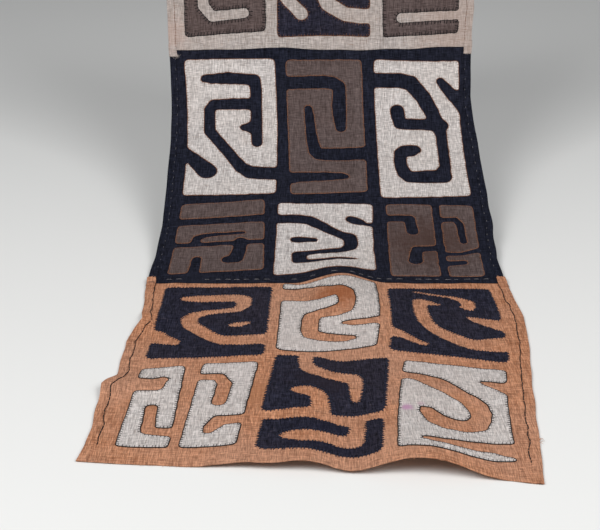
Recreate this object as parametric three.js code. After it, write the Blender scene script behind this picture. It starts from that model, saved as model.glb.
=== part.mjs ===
// A kuba raffia cloth: three woven raffia panels, lapped end to end, with cut raffia figures
// sewn on their face.
// It hangs from its top edge, sweeps forward in a soft curve, and its last panel lies on the surface below.
// Millimetres, +Z up. The origin is the middle of the top edge, the face looks towards -Y.
import * as THREE from 'three';

// Driving dimensions
const panelLengths = [500, 510, 486];
const panelThickness = 1.2;
const hemWidth = 12;
const hemStep = 2.5;
const hemExtra = 1.0;
const seamLap = 12;
const lapRise = 4;
const seamGap = 0.3;
const figureThickness = 0.9;
const lastEdgeSlant = 0.08;

// The curve in which the cloth hangs and lies: its slope from the horizontal, in degrees, at places along it.
const hang = [
  { along: 0, slope: 90 },
  { along: 60, slope: 90 },
  { along: 300, slope: 84 },
  { along: 420, slope: 76 },
  { along: 500, slope: 66 },
  { along: 580, slope: 49 },
  { along: 660, slope: 31 },
  { along: 760, slope: 23 },
  { along: 880, slope: 16 },
  { along: 1000, slope: 3 },
  { along: 1040, slope: 0 },
  { along: 1600, slope: 0 },
];

// Where the two side edges run, across from the middle.
const sides = [
  { along: 0, left: -250, right: 250 },
  { along: 240, left: -253, right: 249 },
  { along: 430, left: -251, right: 252 },
  { along: 500, left: -248, right: 248 },
  { along: 580, left: -243, right: 246 },
  { along: 660, left: -240, right: 251 },
  { along: 740, left: -241, right: 255 },
  { along: 860, left: -240, right: 257 },
  { along: 940, left: -244, right: 253 },
  { along: 1000, left: -249, right: 257 },
  { along: 1060, left: -246, right: 260 },
  { along: 1115, left: -243, right: 264 },
  { along: 1140, left: -241, right: 263 },
  { along: 1165, left: -249, right: 261 },
  { along: 1200, left: -255, right: 257 },
  { along: 1295, left: -255, right: 245 },
  { along: 1330, left: -268, right: 241 },
  { along: 1370, left: -269, right: 237 },
  { along: 1420, left: -268, right: 232 },
  { along: 1463, left: -269, right: 227 },
  { along: 1500, left: -276, right: 222 },
];

// Soft folds: each runs straight from one place to another and is highest at its crest line.
const folds = [
  { name: 'seam ridge', from: [10, 905], to: [46, 1200], start: 0, middle: 19, end: 0, reach: 66 },
  { name: 'middle foot', from: [0, 1210], to: [-22, 1500], start: 0, middle: 5, end: 12, reach: 56 },
  { name: 'left foot', from: [-50, 1260], to: [-80, 1500], start: 0, middle: 4, end: 9, reach: 80 },
  { name: 'right foot', from: [108, 1240], to: [97, 1505], start: 0, middle: 11, end: 24, reach: 95 },
  { name: 'upper left nick', from: [-262, 1140], to: [-170, 1100], start: 7, middle: 5, end: 0, reach: 34 },
  { name: 'lower left nick', from: [-272, 1315], to: [-180, 1290], start: 8, middle: 5, end: 0, reach: 36 },
  { name: 'left sway', from: [-130, 170], to: [-160, 820], start: 0, middle: 4, end: 0, reach: 90 },
  { name: 'right sway', from: [150, 200], to: [130, 900], start: 0, middle: 5, end: 0, reach: 96 },
];

// The sewn figures. Each starts as a four-cornered patch, corners given as [across, along] in millimetres,
// clockwise from the top left. Its bows swell the top, right, bottom and left edges outwards by so many mm.
// Slots are then cut into it: each is a row of [x %, y %, width mm] on the patch.
const figures = [
  {
    name: 'cream_upper_left', colour: 'indigo', corners: [[-215, 45], [-85, 42], [-85, 200], [-218, 203]],
    slots: [
      [[-8, 28, 18], [62, 28, 18], [64, 60, 16]],
      [[108, 84, 16], [40, 84, 18], [28, 72, 18], [28, 55, 16]],
    ],
  },
  {
    name: 'cream_upper_centre', colour: 'brown', corners: [[-60, 42], [75, 45], [75, 202], [-62, 200]],
    slots: [
      [[108, 24, 16], [32, 24, 16], [26, 38, 18], [30, 52, 18], [78, 54, 16]],
      [[-8, 78, 16], [66, 78, 18]],
    ],
  },
  {
    name: 'cream_upper_right', colour: 'indigo', corners: [[98, 46], [222, 44], [224, 200], [98, 204]],
    slots: [
      [[-8, 22, 16], [50, 24, 16], [74, 40, 20], [72, 64, 20], [36, 66, 16], [32, 50, 14]],
      [[108, 84, 14], [30, 86, 16]],
    ],
  },
  {
    name: 'cream_lower_left', colour: 'brown', corners: [[-225, 232], [-92, 230], [-90, 467], [-221, 477]],
    slots: [
      [[106, 20, 18], [34, 20, 20], [24, 30, 20], [23, 80, 20], [34, 88, 19], [74, 87, 18]],
      [[-6, 8, 8], [60, 8, 8]],
      [[76, 36, 18], [50, 42, 18], [50, 66, 22]],
    ],
  },
  {
    name: 'cream_lower_centre', colour: 'indigo', corners: [[-70, 230], [78, 232], [82, 477], [-70, 478]],
    bows: [0, 0, -2.5, 0],
    slots: [
      [[-6, 18, 18], [40, 18, 20], [62, 30, 22], [60, 44, 20], [26, 46, 18]],
      [[-6, 64, 16], [12, 76, 20], [25.8, 84.4, 22.5]],
      [[40, 62, 14], [54, 78.1, 24], [74, 85.2, 23.5], [90, 86.2, 25], [106, 86.6, 25]],
      [[106, 56, 18], [72, 66, 18]],
    ],
  },
  {
    name: 'cream_lower_right', colour: 'brown', corners: [[100, 232], [226, 230], [226, 470], [104, 478]],
    slots: [
      [[-6, 16, 20], [66, 16, 20], [72, 34, 18]],
      [[106, 50, 18], [44, 50, 20], [26, 44, 18], [26, 34, 16]],
      [[72, 67, 17], [32, 68, 18]],
      [[106, 88, 16], [24, 88, 18]],
    ],
  },
  {
    name: 'navy_upper_left', colour: 'cream', corners: [[-223, 516], [-75, 514], [-71, 782], [-214, 787]],
    bows: [0, 3, 0, -5],
    slots: [
      [[22.5, 12, 14], [32, 12.4, 18], [47, 12.2, 21.5], [62, 12.7, 20], [77.8, 13.4, 20],
       [79.2, 20, 20], [79.8, 58.3, 17.5]],
      [[76, 29.2, 22], [31.5, 29.8, 20], [27.5, 33, 18.5], [27.8, 48.5, 19], [45.5, 63, 19],
       [55, 71.4, 20], [63.5, 78.3, 23], [73, 82, 28], [108, 83.4, 29.5]],
      [[74, 46.2, 27], [66, 46.3, 14], [61, 46, 3]],
      [[-9, 63.3, 36], [2, 66.8, 28], [11, 70.2, 24], [16, 73.8, 28], [25.5, 80, 33]],
    ],
  },
  {
    name: 'navy_upper_centre', colour: 'brown', corners: [[-56, 516], [67, 516], [71, 778], [-47, 783]],
    bows: [0, 1, 0, 0],
    slots: [
      [[-7, 14.8, 24], [10, 14.6, 23.5], [50, 14, 23.5], [62, 14.8, 23], [70.3, 17.2, 21.5],
       [69, 30, 24.5], [69.5, 40, 22], [70.3, 46.6, 18]],
      [[27.8, 32.3, 15], [29, 40, 17], [30.3, 50, 18.5], [31.8, 58, 20], [34.8, 65.2, 23],
       [41, 67.5, 27], [55, 67.7, 28], [108, 67.2, 29]],
      [[-9, 86.5, 34], [3, 86.6, 26], [10, 86.3, 23], [45, 85.9, 20.5], [68, 85.8, 16.5], [73, 86.4, 13]],
    ],
  },
  {
    name: 'navy_upper_right', colour: 'cream', corners: [[88, 515], [227.5, 517], [231, 787], [92, 792]],
    bows: [-3, -3, 2, 0],
    slots: [
      [[-7, 13.2, 26], [28, 13.3, 26.5], [42.3, 15, 27], [56.2, 24.2, 26.5], [64.6, 33.3, 26],
       [71.6, 43, 24], [74.7, 52, 19], [75.3, 76, 18.5], [70.5, 83.9, 31], [45, 84.3, 28],
       [34, 84.2, 24.5], [28.3, 81, 23], [25.2, 75, 21], [24.8, 69, 20.5], [26.3, 65, 22],
       [31, 63.6, 24.5], [38, 63.3, 25], [43, 62.6, 19]],
      [[76, 43.5, 23], [36, 43.3, 22.7], [27.7, 42.6, 22], [25.2, 33.5, 24]],
      [[77.5, 13.6, 15], [84, 17.6, 18.4], [88.3, 20.6, 20], [93.5, 23, 25], [108, 28, 44]],
    ],
  },
  {
    name: 'navy_lower_left', colour: 'brown', corners: [[-213, 810], [-88, 797], [-86, 969], [-221, 984]],
    slots: [
      [[-8, 23.8, 17], [40, 24.2, 17.5], [108, 25, 18]],
      [[-8, 54.8, 18], [6, 56, 12], [55, 57, 11.5], [108, 57, 12]],
      [[22.5, 54, 15], [24, 47, 14.5], [32, 44, 11.5], [50, 43.3, 9], [66, 43.3, 8.5], [76.5, 43.2, 7.5]],
      [[27.3, 78.3, 15], [26.8, 90, 16.5], [26, 112, 19]],
      [[74.3, 55, 20], [73.5, 66, 21], [71, 75.5, 23], [69.5, 80.5, 24], [62.3, 81.8, 21.5]],
    ],
  },
  {
    name: 'navy_lower_centre', colour: 'cream', corners: [[-66, 805], [78, 808], [76, 973], [-71, 987]],
    bows: [0, -2, -2, 0],
    slots: [
      [[-7, 20, 20.8], [22, 20.1, 20.8], [33, 22.5, 21.5], [45, 29.5, 20.3], [56, 37.2, 17.3],
       [66, 42.5, 17.3], [75.5, 47, 22], [76.5, 55.4, 21.5], [75.5, 60.2, 20], [68, 65, 14.5],
       [60, 65.8, 14], [49, 66.9, 13], [39.5, 67.4, 11.2], [30, 68.3, 12.5], [22, 69.7, 16],
       [22.5, 78.8, 15.5], [30, 80.7, 11], [36, 81.3, 10], [48, 81.4, 9], [63, 80.2, 9],
       [73, 80.7, 7.4], [81.5, 81.1, 4]],
      [[28, 70.3, 12], [28, 78.6, 12]],
      [[19, 48.4, 13.5], [23, 48.5, 15.8], [33, 49.1, 12.5], [39.3, 49.6, 9.6]],
      [[76, 20.7, 15], [80.5, 22.6, 18], [86.5, 25.1, 14.5], [92.5, 28.4, 6.5], [100, 29.4, 7.5],
       [107, 29.7, 8]],
    ],
  },
  {
    name: 'navy_lower_right', colour: 'brown', corners: [[99, 809], [230, 812], [229, 991], [97, 989]],
    slots: [
      [[57, -8, 13], [58, 108, 13]],
      [[-7, 18, 16], [26, 18, 17], [28, 34, 20]],
      [[58, 57, 14], [31, 59, 18], [28, 76, 22]],
      [[58, 19, 12], [78, 18, 12], [83, 25, 13], [84, 48, 12]],
      [[58, 66, 12], [80, 65, 10], [108, 58, 13]],
      [[58, 80, 14], [80, 78, 14]],
    ],
  },
  {
    name: 'orange_upper_left', colour: 'indigo',
    corners: [[-218, 1028], [-74, 1025], [-80, 1226], [-223, 1238]],
    slots: [
      [[20, 17.4, 16], [27, 17.1, 21], [37, 16.9, 24], [68, 16.4, 27], [75, 19, 29], [77, 27, 24],
       [73, 34.5, 18], [55, 37.2, 16], [43, 38.5, 17.5], [33, 42, 22], [28.5, 49.5, 25], [31, 57, 27],
       [41, 65.2, 27], [52, 73.8, 25], [62, 78.4, 26], [78, 79.2, 31], [108, 79, 31]],
      [[68, 57.9, 11], [76, 56.7, 16.5], [83, 54.6, 11]],
      [[-10, 69, 42], [0, 71.7, 40], [12, 77.2, 27], [20, 80, 20], [24.5, 80.4, 7]],
      [[-5, 31, 9], [-4, 42, 14], [-5, 50, 8]],
    ],
  },
  {
    name: 'orange_upper_centre', colour: 'cream', corners: [[-56, 1014], [72, 1018], [64, 1200], [-63, 1212]],
    bows: [-7, 5, 12, 0],
    slots: [
      [[-8, 18.3, 38], [7, 18.3, 39], [21, 18.4, 40], [32, 21.4, 37], [42, 24.8, 33], [51, 27, 28],
       [61, 28.2, 26], [67, 31.5, 26], [69.8, 38, 25], [70, 46, 23], [66, 51.5, 26], [58, 53.8, 26],
       [50, 53.6, 24], [42, 52.4, 22], [34, 54.5, 25], [32, 60, 24], [32, 75, 23.5], [34, 81, 24],
       [46, 85.8, 23], [58, 88.3, 21.5], [68, 89, 17], [76, 88.2, 11]],
      [[107, 64, 22], [101, 65.5, 17], [93, 67.3, 13], [82, 69.3, 14], [73, 70.4, 12.5], [67.5, 70, 7]],
    ],
  },
  {
    name: 'orange_upper_right', colour: 'indigo', corners: [[90, 1030], [228, 1032], [224, 1247], [82, 1212]],
    bows: [0, 5, 0, -4],
    slots: [
      [[21, 4.6, 4], [30, 5.6, 8], [40, 8.6, 8.5], [51, 11.4, 8.5], [60, 13.4, 10.5], [69, 16.5, 15],
       [76.3, 21.8, 23], [76.5, 28.3, 22], [67, 29, 5]],
      [[52, 25.8, 4], [45, 25, 10], [38, 23, 18], [29.5, 21.5, 23], [30, 38, 23], [33, 52, 23.5],
       [38, 61, 22], [45, 67.5, 25], [55, 73.5, 27], [66, 79.5, 29], [76, 82.3, 31], [88, 80.5, 38],
       [108, 77.5, 43]],
      [[108, 55, 32], [93, 50.3, 27], [81, 46.4, 19], [73, 43.3, 8]],
      [[-8, 69.5, 28], [4, 73.5, 25], [12, 77.2, 19.5], [20, 82.7, 15.5], [27, 86, 13.5],
       [31.5, 86.8, 11]],
    ],
  },
  {
    name: 'orange_far_left', colour: 'cream',
    corners: [[-226, 1268], [-174, 1257], [-178, 1447], [-236, 1445]],
    slots: [
      [[-18, 23, 26], [40, 25, 26], [58, 17, 12]],
      [[48, 53, 15], [53, 81, 17], [122, 84, 20]],
    ],
  },
  {
    name: 'orange_lower_left', colour: 'cream',
    corners: [[-152, 1252], [-85, 1248], [-104, 1448], [-166, 1447]],
    slots: [
      [[-18, 17, 17], [37, 18, 17], [50, 27, 19], [48, 49, 18]],
      [[116, 70, 21], [60, 71, 23], [48, 78, 19], [44, 83, 12]],
    ],
  },
  {
    name: 'orange_lower_centre', colour: 'indigo',
    corners: [[-61, 1229], [76, 1235], [63, 1376], [-76, 1370]],
    bows: [0, 0, 9, 0],
    slots: [
      [[26, -12, 22], [26, 2, 22], [27, 14, 21.5], [30.5, 23.5, 24], [36, 28.8, 25], [43, 33.4, 23],
       [50, 37.5, 24], [59, 40.5, 26], [66, 41.8, 27], [70.5, 41.2, 25], [73, 46, 23], [74.5, 55, 21],
       [75.2, 70, 17.5], [75.7, 80, 14]],
      [[48.5, 114, 28], [47.5, 95, 26], [46, 85, 24.5], [44.5, 78, 25], [40, 72, 26], [33, 67.6, 27],
       [28, 66.3, 23], [23.8, 66, 17]],
      [[33, -3.5, 12], [42.7, 0.7, 12], [49.5, 5.3, 12], [56.7, 7, 12], [65.7, 6.1, 12],
       [76.7, 2.1, 12], [88, -1.2, 12], [98, -3.4, 12]],
      [[46, 0.5, 8], [66, 0.5, 8]],
      [[3, 108, 12], [12, 105.5, 16], [24, 104, 18], [38, 102.5, 16]],
    ],
  },
  {
    name: 'orange_foot_centre', colour: 'indigo', corners: [[-74, 1394], [60, 1397], [54, 1471], [-80, 1457]],
    bows: [0, 0, 6, 0],
    slots: [
      [[18.5, 60.5, 10], [22, 60.5, 19], [27, 62, 26], [34, 65, 29], [43, 65, 29], [51, 63.5, 28],
       [58, 63.5, 27], [65, 65.5, 26], [71, 63.5, 29], [76.5, 61, 30], [79, 48, 24], [79.5, 25, 22],
       [80, 2, 19.5], [80.5, -20, 21]],
      [[38, -6, 8], [44, -1.5, 10], [50, 0, 13], [56, 0, 17], [62, 1, 22], [70, 1, 22], [77, 1.5, 21]],
    ],
  },
  {
    name: 'orange_lower_right', colour: 'cream', corners: [[97, 1242], [219, 1270], [202, 1475], [72, 1475]],
    bows: [-3, -4, 5, 2.5],
    slots: [
      [[-6, 18.8, 23], [7, 19, 21], [18, 21, 23], [27, 24.3, 28], [36, 28.3, 30], [45, 33, 28],
       [54, 38, 27.5], [62, 41.5, 29], [67.5, 46, 30], [71.5, 53, 27], [71.5, 60, 24.5], [67, 67.5, 26],
       [58, 70.8, 27], [50, 72, 28], [41, 72, 31], [34, 69.5, 31], [28, 65, 25], [23.5, 60.5, 19],
       [19.5, 57.8, 9]],
      [[107, 23.5, 34], [99, 21.5, 28], [90, 19.8, 19], [82, 18.8, 14], [75.5, 17.8, 8]],
      [[22, 93, 8], [31, 93.8, 12], [40, 93.6, 13.5], [50, 92.5, 17], [60, 91.5, 19], [72, 89.8, 20.5],
       [82, 89.2, 22], [92, 90, 28], [108, 91, 35]],
    ],
  },
];

const cornerRounding = 6;
const slotRounding = 4;
const outlineStep = 3;
const outlineTolerance = 0.8;

const clothColours = {
  cream: { color: 0xb5aca6, roughness: 0.92, metalness: 0 },
  indigo: { color: 0x20222f, roughness: 0.88, metalness: 0 },
  navy: { color: 0x1b1e2c, roughness: 0.88, metalness: 0 },
  brown: { color: 0x5d504e, roughness: 0.9, metalness: 0 },
  orange: { color: 0xc08a62, roughness: 0.92, metalness: 0 },
};
const clothMaterials = Object.fromEntries(
  Object.entries(clothColours).map(([name, look]) => [name, new THREE.MeshStandardMaterial(look)]),
);

// A value read off a table of rows that are ordered along the cloth.
function tableValue(rows, along, column) {
  const last = rows.findIndex((row) => row.along >= along);
  if (last <= 0) return rows.at(last < 0 ? -1 : 0)[column];
  const [before, after] = [rows[last - 1], rows[last]];
  const share = (along - before.along) / (after.along - before.along);
  return THREE.MathUtils.lerp(before[column], after[column], share);
}

// The middle line of the cloth seen from the side, walked down from the top edge in short steps.
const walkStep = 2;
const middleLine = [{ y: 0, z: 0 }];
for (let along = walkStep / 2; along < hang.at(-1).along; along += walkStep) {
  const slope = THREE.MathUtils.degToRad(tableValue(hang, along, 'slope'));
  const { y, z } = middleLine.at(-1);
  middleLine.push({ y: y - walkStep * Math.cos(slope), z: z - walkStep * Math.sin(slope) });
}

function middlePoint(along) {
  const place = THREE.MathUtils.clamp(along / walkStep, 0, middleLine.length - 1.001);
  const [before, after] = [middleLine[Math.floor(place)], middleLine[Math.floor(place) + 1]];
  const share = place % 1;
  return {
    y: THREE.MathUtils.lerp(before.y, after.y, share),
    z: THREE.MathUtils.lerp(before.z, after.z, share),
  };
}

// How far one fold lifts the cloth at a place.
function foldLift(fold, across, along) {
  const from = new THREE.Vector2(...fold.from);
  const run = new THREE.Vector2(...fold.to).sub(from);
  const place = new THREE.Vector2(across, along).sub(from);
  const share = THREE.MathUtils.clamp(place.dot(run) / run.lengthSq(), 0, 1);
  const away = place.distanceTo(run.clone().multiplyScalar(share));
  if (away >= fold.reach) return 0;
  const [low, high, part] = share < 0.5
    ? [fold.start, fold.middle, 2 * share]
    : [fold.middle, fold.end, 2 * share - 1];
  const crest = THREE.MathUtils.lerp(low, high, THREE.MathUtils.smoothstep(part, 0, 1));
  return crest * Math.cos(0.5 * Math.PI * away / fold.reach) ** 2;
}

// The last panel's rows slant, because its two sides aren't equally long.
const slantRate = lastEdgeSlant / panelLengths[2];
const secondSeam = panelLengths[0] + panelLengths[1];

function slanted(along, across) {
  return along + Math.max(0, along - secondSeam) * slantRate * across;
}

function unslanted(along, across) {
  return along <= secondSeam ? along : secondSeam + (along - secondSeam) / (1 + slantRate * across);
}

// A point of the cloth: offset is measured from its back, along the direction that its face looks in.
function clothPoint(across, row, offset) {
  const along = slanted(row, across);
  const slope = THREE.MathUtils.degToRad(tableValue(hang, along, 'slope'));
  const lift = folds.reduce((sum, fold) => sum + foldLift(fold, across, along), 0) + offset;
  const { y, z } = middlePoint(along);
  return new THREE.Vector3(across, y - lift * Math.sin(slope), z + lift * Math.cos(slope));
}

// The net of rows and columns on which every piece is bent. Whole numbers are its lines.
const innerColumns = 16;
const rowSpacing = 40;

function evenly(from, to, count) {
  return Array.from({ length: count }, (_, index) => THREE.MathUtils.lerp(from, to, index / count));
}

const panelTops = [0, panelLengths[0], secondSeam];
const panelRows = panelTops.map((top, index) => {
  const bottom = top + panelLengths[index];
  const isLast = index === panelTops.length - 1;
  const end = isLast ? bottom : bottom - seamLap - lapRise;
  const rows = evenly(top, end, Math.round((end - top) / rowSpacing));
  return isLast ? [...rows, end] : [...rows, end, bottom - seamLap];
});
const netRows = panelRows.flat();

function columnPlaces(row) {
  const left = tableValue(sides, row, 'left');
  const right = tableValue(sides, row, 'right');
  const inset = hemWidth + hemStep;
  return [
    left, left + hemWidth, ...evenly(left + inset, right - inset, innerColumns), right - inset,
    right - hemWidth, right,
  ];
}

const netPlaces = netRows.map(columnPlaces);
const columnCount = netPlaces[0].length;

// Where a place on the cloth falls in the net, as [column, row] with their fractions.
function netCoordinates(across, along) {
  const row = unslanted(along, across);
  const rowIndex = Math.min(netRows.findLastIndex((place) => place <= row), netRows.length - 2);
  const rowShare = (row - netRows[rowIndex]) / (netRows[rowIndex + 1] - netRows[rowIndex]);
  const places = netPlaces[rowIndex].map((place, column) =>
    THREE.MathUtils.lerp(place, netPlaces[rowIndex + 1][column], rowShare));
  const column = places.findLastIndex((place) => place <= across);
  const columnShare = (across - places[column]) / (places[column + 1] - places[column]);
  return [column + columnShare, rowIndex + rowShare];
}

// A point in a facet of the net. Facets are split by the diagonals on which column + row is whole.
function netPoint(column, row, offsetAt) {
  const low = [Math.min(Math.floor(column), columnCount - 2), Math.min(Math.floor(row), netRows.length - 2)];
  const [across, down] = [column - low[0], row - low[1]];
  const corner = (right, below) => {
    const [columnIndex, rowIndex] = [low[0] + right, low[1] + below];
    const place = netPlaces[rowIndex][columnIndex];
    return clothPoint(place, netRows[rowIndex], offsetAt(columnIndex, rowIndex));
  };
  const upper = across + down <= 1;
  const origin = upper ? corner(0, 0) : corner(1, 1);
  const sideways = (upper ? corner(1, 0) : corner(0, 1)).sub(origin);
  const downwards = (upper ? corner(0, 1) : corner(1, 0)).sub(origin);
  return origin
    .addScaledVector(sideways, upper ? across : 1 - across)
    .addScaledVector(downwards, upper ? down : 1 - down);
}

// A closed solid between two offsets, over flat triangles given in net coordinates.
function sheetGeometry(triangles, backOffset, faceOffset) {
  const indexOf = new Map();
  const places = [];
  const corners = triangles.map((triangle) => triangle.map(([column, row]) => {
    const key = `${column.toFixed(6)},${row.toFixed(6)}`;
    if (!indexOf.has(key)) {
      indexOf.set(key, places.length);
      places.push(key.split(',').map(Number));
    }
    return indexOf.get(key);
  })).filter(([a, b, c]) => a !== b && b !== c && c !== a);
  const count = places.length;
  const points = [backOffset, faceOffset].flatMap((offsetAt) =>
    places.map(([column, row]) => netPoint(column, row, offsetAt)));
  const faces = [];
  const edges = new Set(corners.flatMap(([a, b, c]) => [`${a},${b}`, `${b},${c}`, `${c},${a}`]));
  for (const [a, b, c] of corners) {
    faces.push(a, b, c, count + a, count + c, count + b);
  }
  for (const edge of edges) {
    const [a, b] = edge.split(',').map(Number);
    if (!edges.has(`${b},${a}`)) faces.push(a, count + a, count + b, a, count + b, b);
  }
  const geometry = new THREE.BufferGeometry().setFromPoints(points);
  geometry.setIndex(faces);
  geometry.computeVertexNormals();
  return geometry;
}

// How far inside a patch a place is: below zero on the cloth, above zero off it or in a slot.
function smoothMax(a, b, rounding) {
  const blend = Math.max(rounding - Math.abs(a - b), 0) / rounding;
  return Math.max(a, b) + blend * blend * rounding / 4;
}

function patchPoint(corners, x, y) {
  const [topLeft, topRight, bottomRight, bottomLeft] = corners.map((corner) => new THREE.Vector2(...corner));
  return topLeft.lerp(topRight, x / 100).lerp(bottomLeft.lerp(bottomRight, x / 100), y / 100);
}

function edgeDistance({ corners, bows = [0, 0, 0, 0] }, place) {
  return corners.map((corner, index) => {
    const from = new THREE.Vector2(...corner);
    const run = new THREE.Vector2(...corners[(index + 1) % corners.length]).sub(from);
    const reach = place.clone().sub(from);
    const share = THREE.MathUtils.clamp(reach.dot(run) / run.lengthSq(), 0, 1);
    return -run.cross(reach) / run.length() - 4 * bows[index] * share * (1 - share);
  }).reduce((a, b) => smoothMax(a, b, cornerRounding));
}

function slotDistance(slot, place) {
  let nearest = Infinity;
  for (let index = 1; index < slot.length; index += 1) {
    const [from, to] = [slot[index - 1], slot[index]];
    const run = to.point.clone().sub(from.point);
    const reach = place.clone().sub(from.point);
    const share = THREE.MathUtils.clamp(reach.dot(run) / run.lengthSq(), 0, 1);
    const halfWidth = THREE.MathUtils.lerp(from.width, to.width, share) / 2;
    nearest = Math.min(nearest, reach.distanceTo(run.multiplyScalar(share)) - halfWidth);
  }
  return nearest;
}

// The closed outlines where the figure's cloth ends, found on a square net and then thinned.
function figureOutlines(figure) {
  const slots = figure.slots.map((slot) =>
    slot.map(([x, y, width]) => ({ point: patchPoint(figure.corners, x, y), width })));
  const distance = (across, along) => {
    const place = new THREE.Vector2(across, along);
    const edge = edgeDistance(figure, place);
    return slots.reduce((sum, slot) => smoothMax(sum, -slotDistance(slot, place), slotRounding), edge);
  };
  const columns = figure.corners.map(([across]) => across);
  const rows = figure.corners.map(([, along]) => along);
  const margin = 2 * outlineStep + 0.37;
  const [left, top] = [Math.min(...columns) - margin, Math.min(...rows) - margin];
  const wide = Math.ceil((Math.max(...columns) + margin - left) / outlineStep);
  const high = Math.ceil((Math.max(...rows) + margin - top) / outlineStep);
  const field = Array.from({ length: high + 1 }, (_, row) => Array.from({ length: wide + 1 }, (_, column) =>
    distance(left + column * outlineStep, top + row * outlineStep)));
  const crossing = (columnA, rowA, columnB, rowB) => {
    const [a, b] = [field[rowA][columnA], field[rowB][columnB]];
    const share = THREE.MathUtils.clamp(a / (a - b), 0.02, 0.98);
    return [
      left + outlineStep * THREE.MathUtils.lerp(columnA, columnB, share),
      top + outlineStep * THREE.MathUtils.lerp(rowA, rowB, share),
    ];
  };
  // In each square the line is walked with the cloth on its left, from the side it enters to the side
  // it leaves.
  const next = new Map();
  for (let row = 0; row < high; row += 1) {
    for (let column = 0; column < wide; column += 1) {
      const ring = [[column, row], [column + 1, row], [column + 1, row + 1], [column, row + 1]];
      const inside = ring.map(([c, r]) => field[r][c] < 0);
      const middle = distance(left + (column + 0.5) * outlineStep, top + (row + 0.5) * outlineStep) < 0;
      const changes = ring.map((_, side) => side).filter((side) => inside[side] !== inside[(side + 1) % 4]);
      for (const enter of changes.filter((side) => inside[side])) {
        const leaving = changes.filter((side) => !inside[side]);
        const turn = middle ? 1 : 3;
        const leave = leaving.length === 1 ? leaving[0] : (enter + turn) % 4;
        const onSide = (side) => crossing(...ring[side], ...ring[(side + 1) % 4]);
        const name = (side) => {
          const [a, b] = [ring[side], ring[(side + 1) % 4]];
          return `${a[0] + b[0]},${a[1] + b[1]}`;
        };
        next.set(name(enter), { to: name(leave), point: onSide(enter) });
      }
    }
  }
  const outlines = [];
  while (next.size) {
    const outline = [];
    let place = next.keys().next().value;
    while (next.has(place)) {
      const { to, point } = next.get(place);
      outline.push(point);
      next.delete(place);
      place = to;
    }
    outlines.push(thinned(outline));
  }
  return outlines.filter((outline) => outline.length > 3);
}

// Drops the points of a closed line that lie nearly on the straight between their neighbours.
function thinned(outline) {
  const points = outline.map((point) => new THREE.Vector2(...point));
  const half = points.reduce((best, point, index) =>
    (point.distanceTo(points[0]) > points[best].distanceTo(points[0]) ? index : best), 0);
  const thin = (from, to) => {
    const run = points[to % points.length].clone().sub(points[from]);
    let [far, worst] = [0, outlineTolerance];
    for (let index = from + 1; index < to; index += 1) {
      const reach = points[index].clone().sub(points[from]);
      const share = THREE.MathUtils.clamp(reach.dot(run) / run.lengthSq(), 0, 1);
      const away = reach.distanceTo(run.clone().multiplyScalar(share));
      if (away > worst) [far, worst] = [index, away];
    }
    return far ? [...thin(from, far), ...thin(far, to)] : [outline[from]];
  };
  return [...thin(0, half), ...thin(half, points.length)];
}

// Rounding leaves a crossing of two lines of the net a hair off it.
function onWholeNumber(value) {
  const line = Math.round(value);
  return Math.abs(value - line) < 1e-9 ? line : value;
}

// Splits closed lines where measure(point) passes a level, and closes the parts along it.
function splitAt(loops, measure, level, position) {
  const whole = { low: [], high: [] };
  const chains = { low: [], high: [] };
  const crossings = [];
  for (const loop of loops) {
    const sideOf = loop.map((point) => (measure(point) < level ? 'low' : 'high'));
    const start = sideOf.findIndex((side, index) => side !== sideOf.at(index - 1));
    if (start < 0) {
      whole[sideOf[0]].push(loop);
      continue;
    }
    const ordered = [...loop.slice(start), ...loop.slice(0, start)];
    let chain = null;
    let firstCrossing = null;
    ordered.forEach((point, index) => {
      const before = ordered.at(index - 1);
      if ((measure(point) < level) !== (measure(before) < level)) {
        const share = (level - measure(before)) / (measure(point) - measure(before));
        const crossing = [0, 1].map((axis) =>
          onWholeNumber(THREE.MathUtils.lerp(before[axis], point[axis], share)));
        crossings.push(crossing);
        if (chain) chain.push(crossing);
        firstCrossing ??= crossing;
        chain = [crossing];
        chains[measure(point) < level ? 'low' : 'high'].push(chain);
      }
      chain.push(point);
    });
    chain.push(firstCrossing);
  }
  crossings.sort((a, b) => position(a) - position(b));
  const partner = new Map(crossings.map((crossing, index) => [crossing, crossings[index ^ 1]]));
  for (const side of ['low', 'high']) {
    const startingAt = new Map(chains[side].map((chain) => [chain[0], chain]));
    while (startingAt.size) {
      const loop = [];
      let chain = startingAt.values().next().value;
      while (chain) {
        startingAt.delete(chain[0]);
        loop.push(...chain);
        chain = startingAt.get(partner.get(chain.at(-1)));
      }
      whole[side].push(loop);
    }
  }
  return whole;
}

// Groups of loops, one for each stretch between two lines of the net.
function splitByWholeNumbers(loops, measure, position) {
  const values = loops.flat().map(measure);
  const groups = [];
  let rest = loops;
  for (let level = Math.ceil(Math.min(...values)); level < Math.max(...values); level += 1) {
    const { low, high } = splitAt(rest, measure, level, position);
    groups.push(low);
    rest = high;
  }
  return [...groups, rest].filter((group) => group.length);
}

const clearOfLines = 0.012;

function offWholeNumber(value) {
  const line = Math.round(value);
  return Math.abs(value - line) < clearOfLines ? line + clearOfLines * (value < line ? -1 : 1) : value;
}

// The outlines of one figure as its separate pieces, each an outer line with its holes.
function figurePieces(figure) {
  const outlines = figureOutlines(figure);
  const signedArea = (outline) => THREE.ShapeUtils.area(outline.map(([x, y]) => new THREE.Vector2(x, y)));
  const areas = outlines.map(signedArea);
  const outerSign = Math.sign(areas.reduce((a, b) => (Math.abs(b) > Math.abs(a) ? b : a)));
  const outers = outlines.filter((_, index) => areas[index] * outerSign > 0);
  const holes = outlines.filter((_, index) => areas[index] * outerSign < 0);
  return outers
    .sort((a, b) => Math.abs(signedArea(b)) - Math.abs(signedArea(a)))
    .map((outer) => [outer, ...holes.filter((hole) => contains(outer, hole[0]))]);
}

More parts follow.
